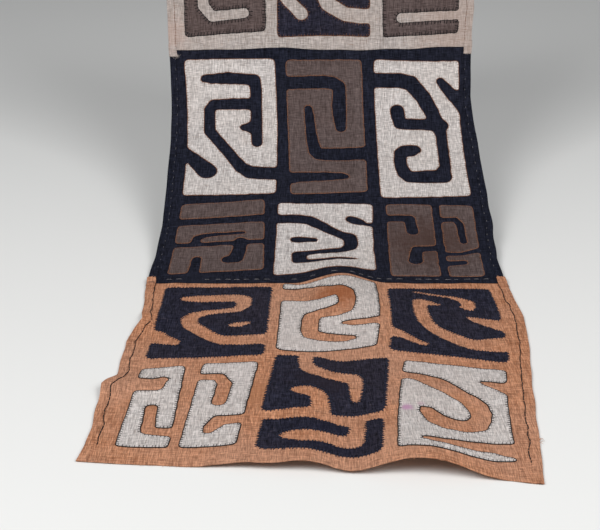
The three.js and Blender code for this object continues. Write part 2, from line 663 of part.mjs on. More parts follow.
function contains(outline, [x, y]) {
  let inside = false;
  outline.forEach(([x1, y1], index) => {
    const [x0, y0] = outline.at(index - 1);
    if ((y0 > y) !== (y1 > y) && x < x0 + (x1 - x0) * (y - y0) / (y1 - y0)) inside = !inside;
  });
  return inside;
}

// Flat triangles of one piece, in net coordinates, cut so that none crosses a line of the net.
function pieceTriangles(outlines) {
  const loops = outlines.map((outline) =>
    outline.map(([across, along]) => netCoordinates(across, along).map(offWholeNumber)));
  const facets = splitByWholeNumbers(loops, ([column]) => column, ([, row]) => row)
    .flatMap((strip) => splitByWholeNumbers(strip, ([, row]) => row, ([column]) => column))
    .flatMap((cell) => splitByWholeNumbers(cell, ([column, row]) => column + row, ([column]) => column));
  const area = (loop) => THREE.ShapeUtils.area(loop.map(([x, y]) => new THREE.Vector2(x, y)));
  const outerSign = Math.sign(area(loops[0]));
  return facets.flatMap((facet) => {
    const outers = facet.filter((loop) => area(loop) * outerSign > 0);
    return outers.flatMap((outer) => {
      const holes = facet.filter((loop) => area(loop) * outerSign < 0 && contains(outer, loop[0]));
      const [outerVectors, ...holeVectors] = [outer, ...holes].map((loop) =>
        loop.map(([x, y]) => new THREE.Vector2(x, y)));
      const all = [outer, ...holes].flat();
      return THREE.ShapeUtils.triangulateShape(outerVectors, holeVectors)
        .map((triangle) => triangle.map((corner) => all[corner]))
        .map((triangle) => (isClockwise(triangle) ? triangle : triangle.reverse()));
    });
  });
}

function isClockwise([a, b, c]) {
  return (b[0] - a[0]) * (c[1] - a[1]) - (b[1] - a[1]) * (c[0] - a[0]) > 0;
}

// A panel fills whole cells of the net, from its first row to its last. Its side hems are turned to the face,
// and where it laps over the next panel it lies on it.
function panelGeometry(firstRow, lastRow, lapped) {
  const triangles = [];
  for (let row = firstRow; row < lastRow; row += 1) {
    for (let column = 0; column < columnCount - 1; column += 1) {
      const [a, b] = [[column, row], [column + 1, row]];
      const [c, d] = [[column + 1, row + 1], [column, row + 1]];
      triangles.push([a, b, d], [b, c, d]);
    }
  }
  const lapOffset = panelThickness + seamGap;
  const backOffset = (column, row) => (lapped && row > lastRow - 2 ? lapOffset : 0);
  const isHem = (column) => column < 2 || column > columnCount - 3;
  const underLap = (row) => firstRow > 0 && row < firstRow + 2;
  const faceOffset = (column, row) =>
    backOffset(column, row) + panelThickness + (isHem(column) && !underLap(row) ? hemExtra : 0);
  return sheetGeometry(triangles, backOffset, faceOffset);
}

const panels = [
  { name: 'cream_panel', colour: 'cream' },
  { name: 'navy_panel', colour: 'navy' },
  { name: 'orange_panel', colour: 'orange' },
];

const cloth = new THREE.Group();
let nextRow = 0;
panels.forEach((panel, index) => {
  const group = new THREE.Group();
  const isLast = index === panels.length - 1;
  const lastRow = nextRow + panelRows[index].length - (isLast ? 1 : 0);
  const firstRow = index ? nextRow - 1 : 0;
  const sheet = new THREE.Mesh(panelGeometry(firstRow, lastRow, !isLast), clothMaterials[panel.colour]);
  sheet.name = panel.name;
  group.add(sheet);
  nextRow = lastRow;

  const ground = panel.name.split('_')[0];
  const onPanel = () => panelThickness + seamGap;
  const onFigure = () => onPanel() + figureThickness;
  for (const figure of figures.filter(({ name }) => name.startsWith(ground))) {
    figurePieces(figure).forEach((outlines, piece) => {
      const geometry = sheetGeometry(pieceTriangles(outlines), onPanel, onFigure);
      const mesh = new THREE.Mesh(geometry, clothMaterials[figure.colour]);
      mesh.name = `${figure.name}_${piece + 1}`;
      group.add(mesh);
    });
  }
  cloth.add(group);
});

export default cloth;
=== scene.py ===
import math
import bpy
import numpy as np
from mathutils.geometry import delaunay_2d_cdt
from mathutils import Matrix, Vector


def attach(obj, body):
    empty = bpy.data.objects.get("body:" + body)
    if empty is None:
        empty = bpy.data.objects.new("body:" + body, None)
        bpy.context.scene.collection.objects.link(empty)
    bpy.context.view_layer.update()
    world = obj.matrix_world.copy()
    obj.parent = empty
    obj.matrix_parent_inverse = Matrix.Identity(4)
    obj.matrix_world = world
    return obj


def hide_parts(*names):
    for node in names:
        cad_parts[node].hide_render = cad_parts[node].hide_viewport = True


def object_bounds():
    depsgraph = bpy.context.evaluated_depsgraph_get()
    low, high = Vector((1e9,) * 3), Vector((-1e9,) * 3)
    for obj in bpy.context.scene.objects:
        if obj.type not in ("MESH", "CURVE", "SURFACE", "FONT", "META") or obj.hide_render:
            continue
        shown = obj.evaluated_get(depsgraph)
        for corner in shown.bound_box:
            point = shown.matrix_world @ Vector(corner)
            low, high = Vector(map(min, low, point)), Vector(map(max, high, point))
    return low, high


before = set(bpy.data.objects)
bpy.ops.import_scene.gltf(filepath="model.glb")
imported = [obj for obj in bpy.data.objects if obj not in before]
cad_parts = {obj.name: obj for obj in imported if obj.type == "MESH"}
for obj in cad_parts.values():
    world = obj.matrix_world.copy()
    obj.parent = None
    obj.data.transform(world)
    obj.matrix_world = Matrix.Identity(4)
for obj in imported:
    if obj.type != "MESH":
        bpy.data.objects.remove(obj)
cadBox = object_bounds()
print("frame loaded:", len(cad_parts), "nodes")

# camera, where the photograph was taken from
cameraView = {"eye": (-0.0330, -2.1466, 0.0322), "downDegrees": 23.54, "lens": 77.49}

camera = bpy.data.objects.new("camera", bpy.data.cameras.new("camera"))
camera.data.lens = cameraView["lens"]
camera.data.sensor_width = 36
camera.location = cameraView["eye"]
camera.rotation_euler = (math.radians(90 - cameraView["downDegrees"]), 0, 0)
camera.data.clip_end = 60
bpy.context.scene.collection.objects.link(camera)
bpy.context.scene.camera = camera
print("camera placed")

# the cloth's own shape, in millimetres and degrees, as the frame has it
clothShape = {
    "seams": (500, 1010),
    "end": 1496,
    "slantRate": 0.08 / 486,
    "thickness": 1.2,
    "hemWidth": 12,
    "hemExtra": 1.0,
    "lap": 12,
    "lapRise": 4,
    "gap": 0.3,
    "figureThickness": 0.9,
    "walkStep": 2.0,
}
hang = np.array([
    (0, 90), (60, 90), (300, 84), (420, 76), (500, 66), (580, 49), (660, 31), (760, 23), (880, 16),
    (1000, 3), (1040, 0), (1600, 0),
])
sides = np.array([
    (0, -250, 250), (240, -253, 249), (430, -251, 252), (500, -248, 248), (580, -243, 246),
    (660, -240, 251), (740, -241, 255), (860, -240, 257), (940, -244, 253), (1000, -249, 257),
    (1060, -246, 260), (1115, -243, 264), (1140, -241, 263), (1165, -249, 261), (1200, -255, 257),
    (1295, -255, 245), (1330, -268, 241), (1370, -269, 237), (1420, -268, 232), (1463, -269, 227),
    (1500, -276, 222),
])
# soft folds: from, to, height at start, middle and end, reach to each side
folds = [
    ((10, 905), (46, 1200), (0, 19, 0), 66),
    ((0, 1210), (-22, 1500), (0, 5, 12), 56),
    ((-50, 1260), (-80, 1500), (0, 4, 9), 80),
    ((108, 1240), (97, 1505), (0, 11, 24), 95),
    ((-262, 1140), (-170, 1100), (7, 5, 0), 34),
    ((-272, 1315), (-180, 1290), (8, 5, 0), 36),
    ((-130, 170), (-160, 820), (0, 4, 0), 90),
    ((150, 200), (130, 900), (0, 5, 0), 96),
]
# small unevenness that the solids leave out
unevenness = {"hungWave": 1.2, "laidWave": 0.8, "waveSize": 84, "laidFrom": 900, "laidRun": 160,
              "pucker": 0.4, "puckerSize": 27, "edgeRipple": 0.9, "edgeRippleSize": 64,
              "edgeRippleReach": 22, "edgeWander": 0.8, "edgeWanderSize": 46}

walkPlaces = np.arange(0, 1600 + 1, clothShape["walkStep"])
walkSlopes = np.radians(np.interp(walkPlaces[:-1] + clothShape["walkStep"] / 2, *hang.T))
middleY = np.concatenate([[0], np.cumsum(-clothShape["walkStep"] * np.cos(walkSlopes))])
middleZ = np.concatenate([[0], np.cumsum(-clothShape["walkStep"] * np.sin(walkSlopes))])


def wander(a, b, size, seed):
    # smooth unevenness between about -1 and 1, with waves about size long
    chance = np.random.default_rng(seed)
    total = 0
    for _ in range(6):
        angle, phase, stretch = chance.uniform((0, 0, 0.7), (2 * math.pi, 2 * math.pi, 1.5))
        ahead = a * math.cos(angle) + b * math.sin(angle)
        total = total + np.sin(ahead * 2 * math.pi / (size * stretch) + phase)
    return total / 3.2


def edgesAt(row):
    # left and right edge of the cloth, with the small wander of a hand-sewn side
    left, right = (np.interp(row, sides[:, 0], sides[:, side]) for side in (1, 2))
    u = unevenness
    return (left + u["edgeWander"] * wander(row, 0, u["edgeWanderSize"], 11),
            right + u["edgeWander"] * wander(row, 0, u["edgeWanderSize"], 12))


def eased(share):
    return share * share * (3 - 2 * share)


def besideLine(x, y, start, end):
    # how far along a line the nearest place is, from 0 to 1, and how far off it lies
    runX, runY = end[0] - start[0], end[1] - start[1]
    reachX, reachY = x - start[0], y - start[1]
    share = np.clip((reachX * runX + reachY * runY) / (runX ** 2 + runY ** 2), 0, 1)
    return share, np.hypot(reachX - share * runX, reachY - share * runY)


def foldLift(across, along):
    lift = 0
    for start, end, (low, crest, high), reach in folds:
        share, away = besideLine(across, along, start, end)
        part = eased(np.where(share < 0.5, 2 * share, 2 * share - 1))
        height = np.where(share < 0.5, low + (crest - low) * part, crest + (high - crest) * part)
        fall = np.cos(0.5 * math.pi * np.minimum(away / reach, 1)) ** 2
        lift = lift + np.where(away < reach, height * fall, 0)
    return lift


def smallLift(across, along):
    # never below zero, so the laid part stays on what it lies on
    u = unevenness
    laid = np.clip((along - u["laidFrom"]) / u["laidRun"], 0, 1)
    waveHeight = u["hungWave"] * (1 - laid) + u["laidWave"] * laid
    wave = waveHeight * (1 + wander(across, along, u["waveSize"], 3)) / 2
    pucker = u["pucker"] * (1 + wander(across, along, u["puckerSize"], 4)) / 2
    left, right = (np.interp(along, sides[:, 0], sides[:, side]) for side in (1, 2))
    nearEdge = np.exp(-np.minimum(across - left, right - across).clip(0) / u["edgeRippleReach"])
    ripple = u["edgeRipple"] * nearEdge * (1 + wander(along, across * 0.2, u["edgeRippleSize"], 5)) / 2
    return np.maximum(wave, 0) + np.maximum(pucker, 0) + np.maximum(ripple, 0)


def slanted(across, row):
    # the last panel's rows slant, because its two sides aren't equally long
    return row + np.maximum(0, row - clothShape["seams"][1]) * clothShape["slantRate"] * across


def unslanted(across, along):
    seam = clothShape["seams"][1]
    return np.where(along <= seam, along, seam + (along - seam) / (1 + clothShape["slantRate"] * across))


def clothPoint(across, row, offset):
    # a place on the cloth in metres; offset is measured from its back
    across, row, offset = np.broadcast_arrays(*(np.asarray(x, dtype=float) for x in (across, row, offset)))
    along = slanted(across, row)
    slope = np.radians(np.interp(along, *hang.T))
    lift = foldLift(across, along) + smallLift(across, along) + offset
    y = np.interp(along, walkPlaces, middleY) - lift * np.sin(slope)
    z = np.interp(along, walkPlaces, middleZ) + lift * np.cos(slope)
    return np.stack([across, y, z], axis=-1) / 1000


# helpers for building shader nodes
def feed(tree, socket, value):
    if isinstance(value, bpy.types.NodeSocket):
        tree.links.new(value, socket)
    else:
        socket.default_value = value


def addNode(tree, kind, values=(), **settings):
    # values feed the node's inputs, in their order or by name
    made = tree.nodes.new(kind)
    for name, value in settings.items():
        setattr(made, name, value)
    for socket, value in (values.items() if isinstance(values, dict) else enumerate(values)):
        feed(tree, made.inputs[socket], value)
    return made.outputs


def calc(tree, operation, *values):
    return addNode(tree, "ShaderNodeMath", values, operation=operation)[0]


def combine(tree, x, y, z=0.0):
    return addNode(tree, "ShaderNodeCombineXYZ", (x, y, z))[0]


def noise(tree, vector, scale, detail=2.0, roughness=0.5):
    values = {"Vector": vector, "Scale": scale, "Detail": detail, "Roughness": roughness}
    return addNode(tree, "ShaderNodeTexNoise", values)["Fac"]


def spread(tree, value, low, high, toLow=0.0, toHigh=1.0):
    values = (value, low, high, toLow, toHigh)
    return addNode(tree, "ShaderNodeMapRange", values, interpolation_type="SMOOTHSTEP")[0]


def mixColour(tree, share, a, b):
    return addNode(tree, "ShaderNodeMix", {"Factor": share, 6: a, 7: b}, data_type="RGBA")[2]


def scaled(tree, vector, factor):
    return addNode(tree, "ShaderNodeVectorMath", {0: vector, "Scale": factor}, operation="SCALE")[0]


def newGroup(name, inputs, outputs):
    tree = bpy.data.node_groups.new(name, "ShaderNodeTree")
    for label, kind, value in inputs:
        socket = tree.interface.new_socket(name=label, in_out="INPUT", socket_type="NodeSocket" + kind)
        if value is not None:
            socket.default_value = value
    for label in outputs:
        tree.interface.new_socket(name=label, in_out="OUTPUT", socket_type="NodeSocketFloat")
    return tree, tree.nodes.new("NodeGroupInput").outputs, tree.nodes.new("NodeGroupOutput").inputs


def useGroup(tree, group, **values):
    return addNode(tree, "ShaderNodeGroup", values, node_tree=group)


# the weave's own habits: how its yarns sway and round over, and how much one yarn or the top yarn counts
weaveHabits = {"swayScale": 26.0, "sway": 2.2, "rounding": 0.35, "singleYarn": 0.18, "topYarn": 0.35,
               "thickPlaces": 0.6}


def makeRaffiaWeave():
    # plain weave of split palm leaf: crossing yarns, thick and thin places, fine grain, wide faded patches
    h = weaveHabits
    tree, given, out = newGroup(
        "raffiaWeave",
        [("Place", "Vector", None), ("Pitch", "Float", 0.0011), ("Slub Width", "Float", 0.0016),
         ("Slub Length", "Float", 0.019), ("Patch Size", "Float", 0.16),
         ("Grain Width", "Float", 0.0007), ("Grain Length", "Float", 0.011)],
        ["Height", "Yarn Tone", "Stray", "Fading", "Grain"])
    place = given["Place"]

    def plus(a, b):
        return calc(tree, "ADD", a, b)

    def times(a, b):
        return calc(tree, "MULTIPLY", a, b)

    def chosen(a, b, share):
        return plus(times(a, share), times(b, calc(tree, "SUBTRACT", 1.0, share)))

    def streaks(across, along, shift, kind="Slub"):
        return noise(tree, combine(tree, calc(tree, "DIVIDE", across, given[kind + " Width"]),
                                   calc(tree, "DIVIDE", along, given[kind + " Length"]), shift), 1.0, 1.0)

    def yarnTone(across, along, yarn, shift):
        each = addNode(tree, "ShaderNodeTexWhiteNoise", {"Vector": combine(tree, yarn, shift)},
                       noise_dimensions="2D")
        slub = times(streaks(across, along, shift), 1 - h["singleYarn"])
        return plus(slub, times(each["Value"], h["singleYarn"]))

    u, v = addNode(tree, "ShaderNodeSeparateXYZ", [place])[:2]
    sway = times(calc(tree, "SUBTRACT", noise(tree, place, h["swayScale"]), 0.5), h["sway"])
    a = plus(calc(tree, "DIVIDE", u, given["Pitch"]), sway)
    b = calc(tree, "SUBTRACT", calc(tree, "DIVIDE", v, given["Pitch"]), sway)
    waveA, waveB = (calc(tree, "ABSOLUTE", calc(tree, "SINE", times(x, math.pi))) for x in (a, b))
    yarnA, yarnB = calc(tree, "FLOOR", a), calc(tree, "FLOOR", b)
    over = calc(tree, "FLOORED_MODULO", plus(yarnA, yarnB), 2.0)
    up = times(waveA, calc(tree, "POWER", waveB, h["rounding"]))
    down = times(waveB, calc(tree, "POWER", waveA, h["rounding"]))
    toneA, toneB = yarnTone(u, v, yarnA, 3.7), yarnTone(v, u, yarnB, 8.1)
    both = times(plus(toneA, toneB), 0.5)
    mixed = plus(times(chosen(toneA, toneB, over), h["topYarn"]), times(both, 1 - h["topYarn"]))
    feed(tree, out["Yarn Tone"], spread(tree, mixed, 0.28, 0.68))
    thick = times(spread(tree, both, 0.35, 0.68), h["thickPlaces"])
    feed(tree, out["Height"], plus(chosen(up, down, over), thick))
    stray = calc(tree, "MAXIMUM", streaks(u, v, 14.2), streaks(v, u, 19.6))
    feed(tree, out["Stray"], spread(tree, stray, 0.66, 0.80))
    patch = scaled(tree, place, calc(tree, "DIVIDE", 1.0, given["Patch Size"]))
    feed(tree, out["Fading"], spread(tree, noise(tree, patch, 1.0, 4.0, 0.6), 0.32, 0.68))
    fine = plus(streaks(u, v, 25.3, "Grain"), streaks(v, u, 31.9, "Grain"))
    feed(tree, out["Grain"], spread(tree, fine, 0.66, 1.34))
    return tree


def makeSoftSpot():
    # one soft-edged spot on the cloth: a stained or faded place, also used for spots of painted light
    tree, given, out = newGroup(
        "softSpot", [("Place", "Vector", None), ("Spot", "Vector", None), ("Reach", "Float", 0.02)], ["Mask"])
    away = addNode(tree, "ShaderNodeVectorMath", (given["Place"], given["Spot"]), operation="DISTANCE")
    ragged = calc(tree, "MULTIPLY", noise(tree, given["Place"], 130.0, 3.0), given["Reach"])
    far = calc(tree, "ADD", away["Value"], calc(tree, "MULTIPLY", ragged, 0.9))
    share = calc(tree, "DIVIDE", far, given["Reach"])
    feed(tree, out["Mask"], spread(tree, share, 0.55, 1.35, 1.0, 0.0))
    return tree


def makeTwist():
    # fine strands along a sewing thread
    tree, given, out = newGroup("threadTwist", [("Place", "Vector", None), ("Size", "Float", 900.0)],
                                ["Height", "Strand"])
    strands = noise(tree, given["Place"], given["Size"], 3.0)
    feed(tree, out["Height"], strands)
    feed(tree, out["Strand"], spread(tree, strands, 0.35, 0.65))
    return tree


raffiaWeave, softSpot, threadTwist = makeRaffiaWeave(), makeSoftSpot(), makeTwist()


def rgb(red, green, blue):
    # from the screen's 0-255 to Blender's own scale
    return tuple((x / 12.92 if x <= 0.04045 else ((x + 0.055) / 1.055) ** 2.4)
                 for x in (red / 255, green / 255, blue / 255)) + (1.0,)


# six woven finishes: yarn colours from deep to pale, the colour that patches fade to, how much the
# fine grain darkens and lightens, and the colour of stray yarns
raffiaLooks = {
    "creamGround": {"deep": (144, 136, 131), "pale": (194, 185, 181), "faded": (174, 157, 147), "fade": 0.45,
                    "grain": (0.70, 1.26), "stray": (128, 98, 76), "slot": "cream_ground"},
    "navyGround": {"deep": (15, 17, 27), "pale": (33, 35, 47), "faded": (34, 34, 43), "fade": 0.3,
                   "grain": (0.42, 1.68), "stray": (58, 60, 74), "slot": "navy_ground"},
    "orangeGround": {"deep": (146, 94, 66), "pale": (201, 145, 112), "faded": (182, 140, 118), "fade": 0.5,
                     "grain": (0.64, 1.38), "stray": (104, 80, 70), "slot": "orange_ground"},
    "creamFigure": {"deep": (170, 162, 159), "pale": (208, 202, 199), "faded": (196, 184, 176), "fade": 0.3,
                    "grain": (0.66, 1.37), "stray": (142, 126, 114), "slot": "cream_figures"},
    "brownFigure": {"deep": (70, 59, 58), "pale": (104, 91, 89), "faded": (84, 68, 64), "fade": 0.35,
                    "grain": (0.68, 1.36), "stray": (60, 47, 45), "slot": "brown_figures"},
    "indigoFigure": {"deep": (22, 22, 33), "pale": (43, 43, 56), "faded": (48, 42, 48), "fade": 0.4,
                     "grain": (0.38, 1.8), "stray": (72, 66, 74), "slot": "indigo_figures",
                     "roughness": (0.76, 0.94)},
}
raffiaSurface = {"roughness": (0.78, 0.95), "patternTop": 1.4, "bump": 0.6, "bumpDepth": 0.0006,
                 "specular": 0.05, "strayStrength": 0.55}
# places on the cloth that are stained or faded, and spots of painted light: where, how far, colour and
# strength
stainsAndPaintedLight = {
    "creamGround": [((0.215, 0.455, 0), 0.12, (172, 148, 136), 0.45),
                    ((0.225, 0.30, 0), 0.10, (172, 150, 138), 0.35),
                    ((-0.245, 0.47, 0), 0.05, (186, 158, 146), 0.5)],
    "creamFigure": [((0.0, 1.26, 0), 0.30, (200, 186, 181), 0.3),
                    ((0.089, 1.378, 0), 0.013, (184, 140, 170), 0.9),
                    ((0.106, 1.37, 0), 0.008, (190, 156, 172), 0.45)],
    "orangeGround": [((0.02, 1.075, 0), 0.06, (146, 84, 50), 0.8),
                     ((0.14, 1.36, 0), 0.05, (170, 112, 74), 0.5),
                     ((-0.08, 1.33, 0), 0.06, (164, 110, 76), 0.5),
                     ((-0.21, 1.36, 0), 0.05, (166, 110, 76), 0.4),
                     # the last orange spot is painted light: a lighter patch on the right fold near the front
                     # end, where the laid cloth is lit more
                     ((0.08, 1.44, 0), 0.07, (200, 152, 124), 0.4)],
    # the navy spots are painted light: lighter, bluer navy near the second seam, where more light falls
    "navyGround": [((-0.18, 1.0, 0), 0.05, (36, 38, 50), 0.4),
                   ((0.2, 0.95, 0), 0.08, (34, 38, 52), 0.4)],
    "brownFigure": [((0.16, 0.90, 0), 0.11, (72, 53, 48), 0.75)],
    "indigoFigure": [((0.0, 1.30, 0), 0.07, (44, 37, 44), 0.6),
                     ((0.0, 1.44, 0), 0.07, (26, 28, 46), 0.5)],
}


def newMaterial(name):
    material = bpy.data.materials.new(name)
    material.use_nodes = True
    return material, material.node_tree


def dressSurface(tree, colour, pattern, height, values):
    # colour, roughness and bump on the material's own shader
    surface = tree.nodes["Principled BSDF"]
    feed(tree, surface.inputs["Base Color"], colour)
    smooth, rough = values["roughness"]
    feed(tree, surface.inputs["Roughness"], spread(tree, pattern, 0.0, values["patternTop"], rough, smooth))
    relief = {"Strength": values["bump"], "Distance": values["bumpDepth"], "Height": height}
    feed(tree, surface.inputs["Normal"], addNode(tree, "ShaderNodeBump", relief)[0])
    surface.inputs["Specular IOR Level"].default_value = values["specular"]


def makeRaffia(name, look):
    material, tree = newMaterial(name)
    look = {**raffiaSurface, **look}
    place = addNode(tree, "ShaderNodeUVMap", uv_map="cloth")[0]
    weave = useGroup(tree, raffiaWeave, Place=place)
    colour = mixColour(tree, weave["Yarn Tone"], rgb(*look["deep"]), rgb(*look["pale"]))
    fading = calc(tree, "MULTIPLY", weave["Fading"], look["fade"])
    colour = mixColour(tree, fading, colour, rgb(*look["faded"]))
    stray = calc(tree, "MULTIPLY", weave["Stray"], look["strayStrength"])
    colour = mixColour(tree, stray, colour, rgb(*look["stray"]))
    colour = scaled(tree, colour, spread(tree, weave["Grain"], 0.0, 1.0, *look["grain"]))
    # stains, faded places and spots of painted light, mixed into the yarn colour
    for spot, reach, stainAndLight, strength in stainsAndPaintedLight[name]:
        mask = useGroup(tree, softSpot, Place=place, Spot=spot, Reach=reach)["Mask"]
        colour = mixColour(tree, calc(tree, "MULTIPLY", mask, strength), colour, rgb(*stainAndLight))
    dressSurface(tree, colour, weave["Height"], weave["Height"], look)
    return material


# sewing threads, from the deepest to the palest strand
threadLooks = {
    "darkThread": {"deep": (12, 10, 13), "pale": (34, 28, 29)},
    "rustThread": {"deep": (88, 54, 38), "pale": (142, 96, 68)},
    "blueThread": {"deep": (16, 17, 30), "pale": (40, 42, 62)},
    "greyThread": {"deep": (72, 70, 76), "pale": (136, 130, 130)},
    "creamThread": {"deep": (142, 132, 124), "pale": (186, 176, 168)},
    "orangeThread": {"deep": (150, 100, 70), "pale": (206, 152, 116)},
}
threadSurface = {"roughness": (0.62, 0.8), "patternTop": 1.0, "bump": 0.4, "bumpDepth": 0.0002,
                 "specular": 0.3}


def makeThread(name, look):
    material, tree = newMaterial(name)
    place = addNode(tree, "ShaderNodeTexCoord")["Object"]
    twist = useGroup(tree, threadTwist, Place=place)
    colour = mixColour(tree, twist["Strand"], rgb(*look["deep"]), rgb(*look["pale"]))
    dressSurface(tree, colour, twist["Strand"], twist["Height"], threadSurface)
    return material


finishes = {name: makeRaffia(name, look) for name, look in raffiaLooks.items()}
finishes.update({name: makeThread(name, look) for name, look in threadLooks.items()})
print("materials made:", len(finishes))


# helpers for building meshes
def addPiece(name, points, faces, finish, uvs=None):
    mesh = bpy.data.meshes.new(name)
    mesh.from_pydata([tuple(p) for p in points], [], faces)
    mesh.materials.append(finishes[finish])
    mesh.shade_smooth()
    if uvs is not None:
        corners = np.empty(len(mesh.loops), dtype=np.int32)
        mesh.loops.foreach_get("vertex_index", corners)
        layer = mesh.uv_layers.new(name="cloth")
        layer.data.foreach_set("uv", np.asarray(uvs, dtype=np.float32)[corners].ravel())
    piece = bpy.data.objects.new(name, mesh)
    bpy.context.scene.collection.objects.link(piece)
    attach(piece, "root")
    return piece


def closedGrid(name, across, row, back, face, finish):
    # a closed sheet from grids of places and of back and face heights
    high, wide = across.shape
    points = np.concatenate([clothPoint(across, row, height).reshape(-1, 3) for height in (back, face)])
    index = np.arange(high * wide).reshape(high, wide)
    quads = np.stack([index[:-1, :-1], index[1:, :-1], index[1:, 1:], index[:-1, 1:]], axis=-1).reshape(-1, 4)
    count = high * wide
    rim = np.concatenate([index[0, :-1], index[:-1, -1], index[-1, :0:-1], index[:0:-1, 0]])
    after = np.roll(rim, -1)
    walls = np.stack([rim, after, after + count, rim + count], axis=-1)
    faces = np.concatenate([quads[:, ::-1], quads + count, walls]).tolist()
    places = np.stack([across, row], axis=-1).reshape(-1, 2) / 1000
    return addPiece(name, points, faces, finish, np.concatenate([places, places]))


def tubePieces(name, groups, finish):
    # many threads in one mesh; each group is (paths in cloth places, radius, sides, closed)
    allPoints, allFaces, used = [], [], 0
    for paths, radius, sides, closed in groups:
        paths = np.asarray(paths, dtype=float)
        many, steps, _ = paths.shape
        middle = clothPoint(paths[..., 0], paths[..., 1], paths[..., 2])
        raised = clothPoint(paths[..., 0], paths[..., 1], paths[..., 2] + 1)
        up = (raised - middle) * 1000
        if closed:
            run = np.roll(middle, -1, axis=1) - np.roll(middle, 1, axis=1)
        else:
            run = np.gradient(middle, axis=1)
        run /= np.linalg.norm(run, axis=-1, keepdims=True) + 1e-12
        side = np.cross(run, up)
        side /= np.linalg.norm(side, axis=-1, keepdims=True) + 1e-12
        up = np.cross(side, run)
        turn = 2 * math.pi * (np.arange(sides) + 0.5) / sides
        sideways, upwards = np.cos(turn)[:, None] * side[:, :, None], np.sin(turn)[:, None] * up[:, :, None]
        ring = middle[:, :, None] + radius / 1000 * (sideways + upwards)
        index = used + np.arange(many * steps * sides).reshape(many, steps, sides)
        ahead = np.roll(index, -1, axis=1) if closed else index[:, 1:]
        here = index if closed else index[:, :-1]
        quads = np.stack([here, np.roll(here, -1, axis=2), np.roll(ahead, -1, axis=2), ahead], axis=-1)
        allFaces += quads.reshape(-1, 4).tolist()
        if not closed:
            allFaces += index[:, 0, ::-1].tolist() + index[:, -1].tolist()
        allPoints.append(ring.reshape(-1, 3))
        used += many * steps * sides
    return addPiece(name, np.concatenate(allPoints), allFaces, finish)


# the three panels: their ends, finish, and how the lower end wavers, as (across, mm)
panelParts = {
    "cream_panel": {"top": 0, "bottom": 500, "finish": "creamGround", "seed": 21,
                    "waver": [(-240, 0), (-140, -2), (-60, -5), (20, -1), (60, 0), (150, -3), (235, -7)]},
    "navy_panel": {"top": 488, "bottom": 1010, "finish": "navyGround", "seed": 22,
                   "waver": [(-240, 2.5), (-75, 2.5), (-10, 0), (90, 0), (130, 2.5), (240, 2.5)]},
    "orange_panel": {"top": 998, "bottom": 1496, "finish": "orangeGround", "seed": 23,
                     "waver": [(-270, 0), (190, 0), (226, 5)]},
}
# the folded hems, and how finely a panel is netted
hemProfile = {"foldRadius": 1.1, "crown": 0.18, "stepWidth": 0.8, "startGap": 0.5, "startRun": 5,
              "foldAngles": [20, 42, 66, 90], "flatColumns": [3, 6, 9, 10.6],
              "stepShares": [1, 0.66, 0.33, 0], "lastColumn": 13.2, "endAngles": [90, 62, 38, 18],
              "lapRows": [1, 2, 3, 4, 7, 10, 13], "rowStep": 3.6, "innerInset": 15, "innerColumns": 130,
              "endSlide": 14, "endWander": 0.8, "endWanderSize": 52}


def hemFace(inside):
    # how far the folded hem stands above the panel's own face
    c, h = clothShape, hemProfile
    crown = h["crown"] * np.sin(math.pi * np.clip(inside / c["hemWidth"], 0, 1))
    step = np.clip((c["hemWidth"] - inside) / h["stepWidth"], 0, 1)
    return (c["hemExtra"] + crown) * eased(step)


def panelFaceAt(part, across, row):
    # height of a panel's face, with its hems and its lap
    c, h = clothShape, hemProfile
    left, right = edgesAt(row)
    inside = np.minimum(across - left, right - across)
    hem = hemFace(inside)
    if part["top"]:
        hem = hem * np.clip((row - part["top"] - c["lap"] - h["startGap"]) / h["startRun"], 0, 1)
    return lapLift(part, row) + c["thickness"] + hem


def lapLift(part, row):
    c = clothShape
    if part["bottom"] == c["end"]:
        return np.zeros_like(np.asarray(row, dtype=float))
    rise = np.clip((row - part["bottom"] + c["lap"] + c["lapRise"]) / c["lapRise"], 0, 1)
    return (c["thickness"] + c["gap"]) * rise


def endWaver(part, across):
    # the lower edge isn't cut quite straight
    h = hemProfile
    drift = h["endWander"] * wander(across, 0, h["endWanderSize"], part["seed"])
    return np.interp(across, *np.array(part["waver"]).T) + drift


def makePanel(name, part):
    c, h = clothShape, hemProfile
    top, bottom = part["top"], part["bottom"]
    lapStart = bottom - c["lap"] - c["lapRise"]
    fold = h["foldRadius"] * (1 - np.cos(np.radians(h["foldAngles"])))
    step = c["hemWidth"] - h["stepWidth"] * np.array(h["stepShares"])
    hemColumns = np.concatenate([fold, h["flatColumns"], step, [h["lastColumn"]]])
    endFold = c["thickness"] / 2 * (1 - np.cos(np.radians(h["endAngles"])))
    body = np.linspace(top, lapStart, int((lapStart - top) / h["rowStep"]))
    rows = np.concatenate([body, lapStart + np.array(h["lapRows"]), bottom - endFold])[:, None]
    left, right = edgesAt(rows)
    innerLeft, innerRight = left + h["innerInset"], right - h["innerInset"]
    across = np.concatenate([
        left + hemColumns, innerLeft + (innerRight - innerLeft) * np.linspace(0, 1, h["innerColumns"]),
        right - hemColumns[::-1]], axis=1)
    row = np.broadcast_to(rows, across.shape)
    inside = np.minimum(across - left, right - across)
    lift = lapLift(part, row)
    high = panelFaceAt(part, across, row) - lift
    roundness = np.sqrt(np.clip(1 - (1 - np.clip(inside / h["foldRadius"], 0, 1)) ** 2, 0, 1))
    fromEnd = np.clip((bottom - row) / (c["thickness"] / 2), 0, 1)
    roundness = roundness * np.sqrt(np.clip(1 - (1 - fromEnd) ** 2, 0.02, 1))
    slide = np.clip((row - bottom + h["endSlide"]) / h["endSlide"], 0, 1)
    place = row + endWaver(part, across) * slide
    back, face = lift + high / 2 * (1 - roundness), lift + high / 2 * (1 + roundness)
    return closedGrid(name, across, place, back, face, part["finish"])


for name, part in panelParts.items():
    makePanel(name + "_cloth", part)
    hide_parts(name)
print("panels made")


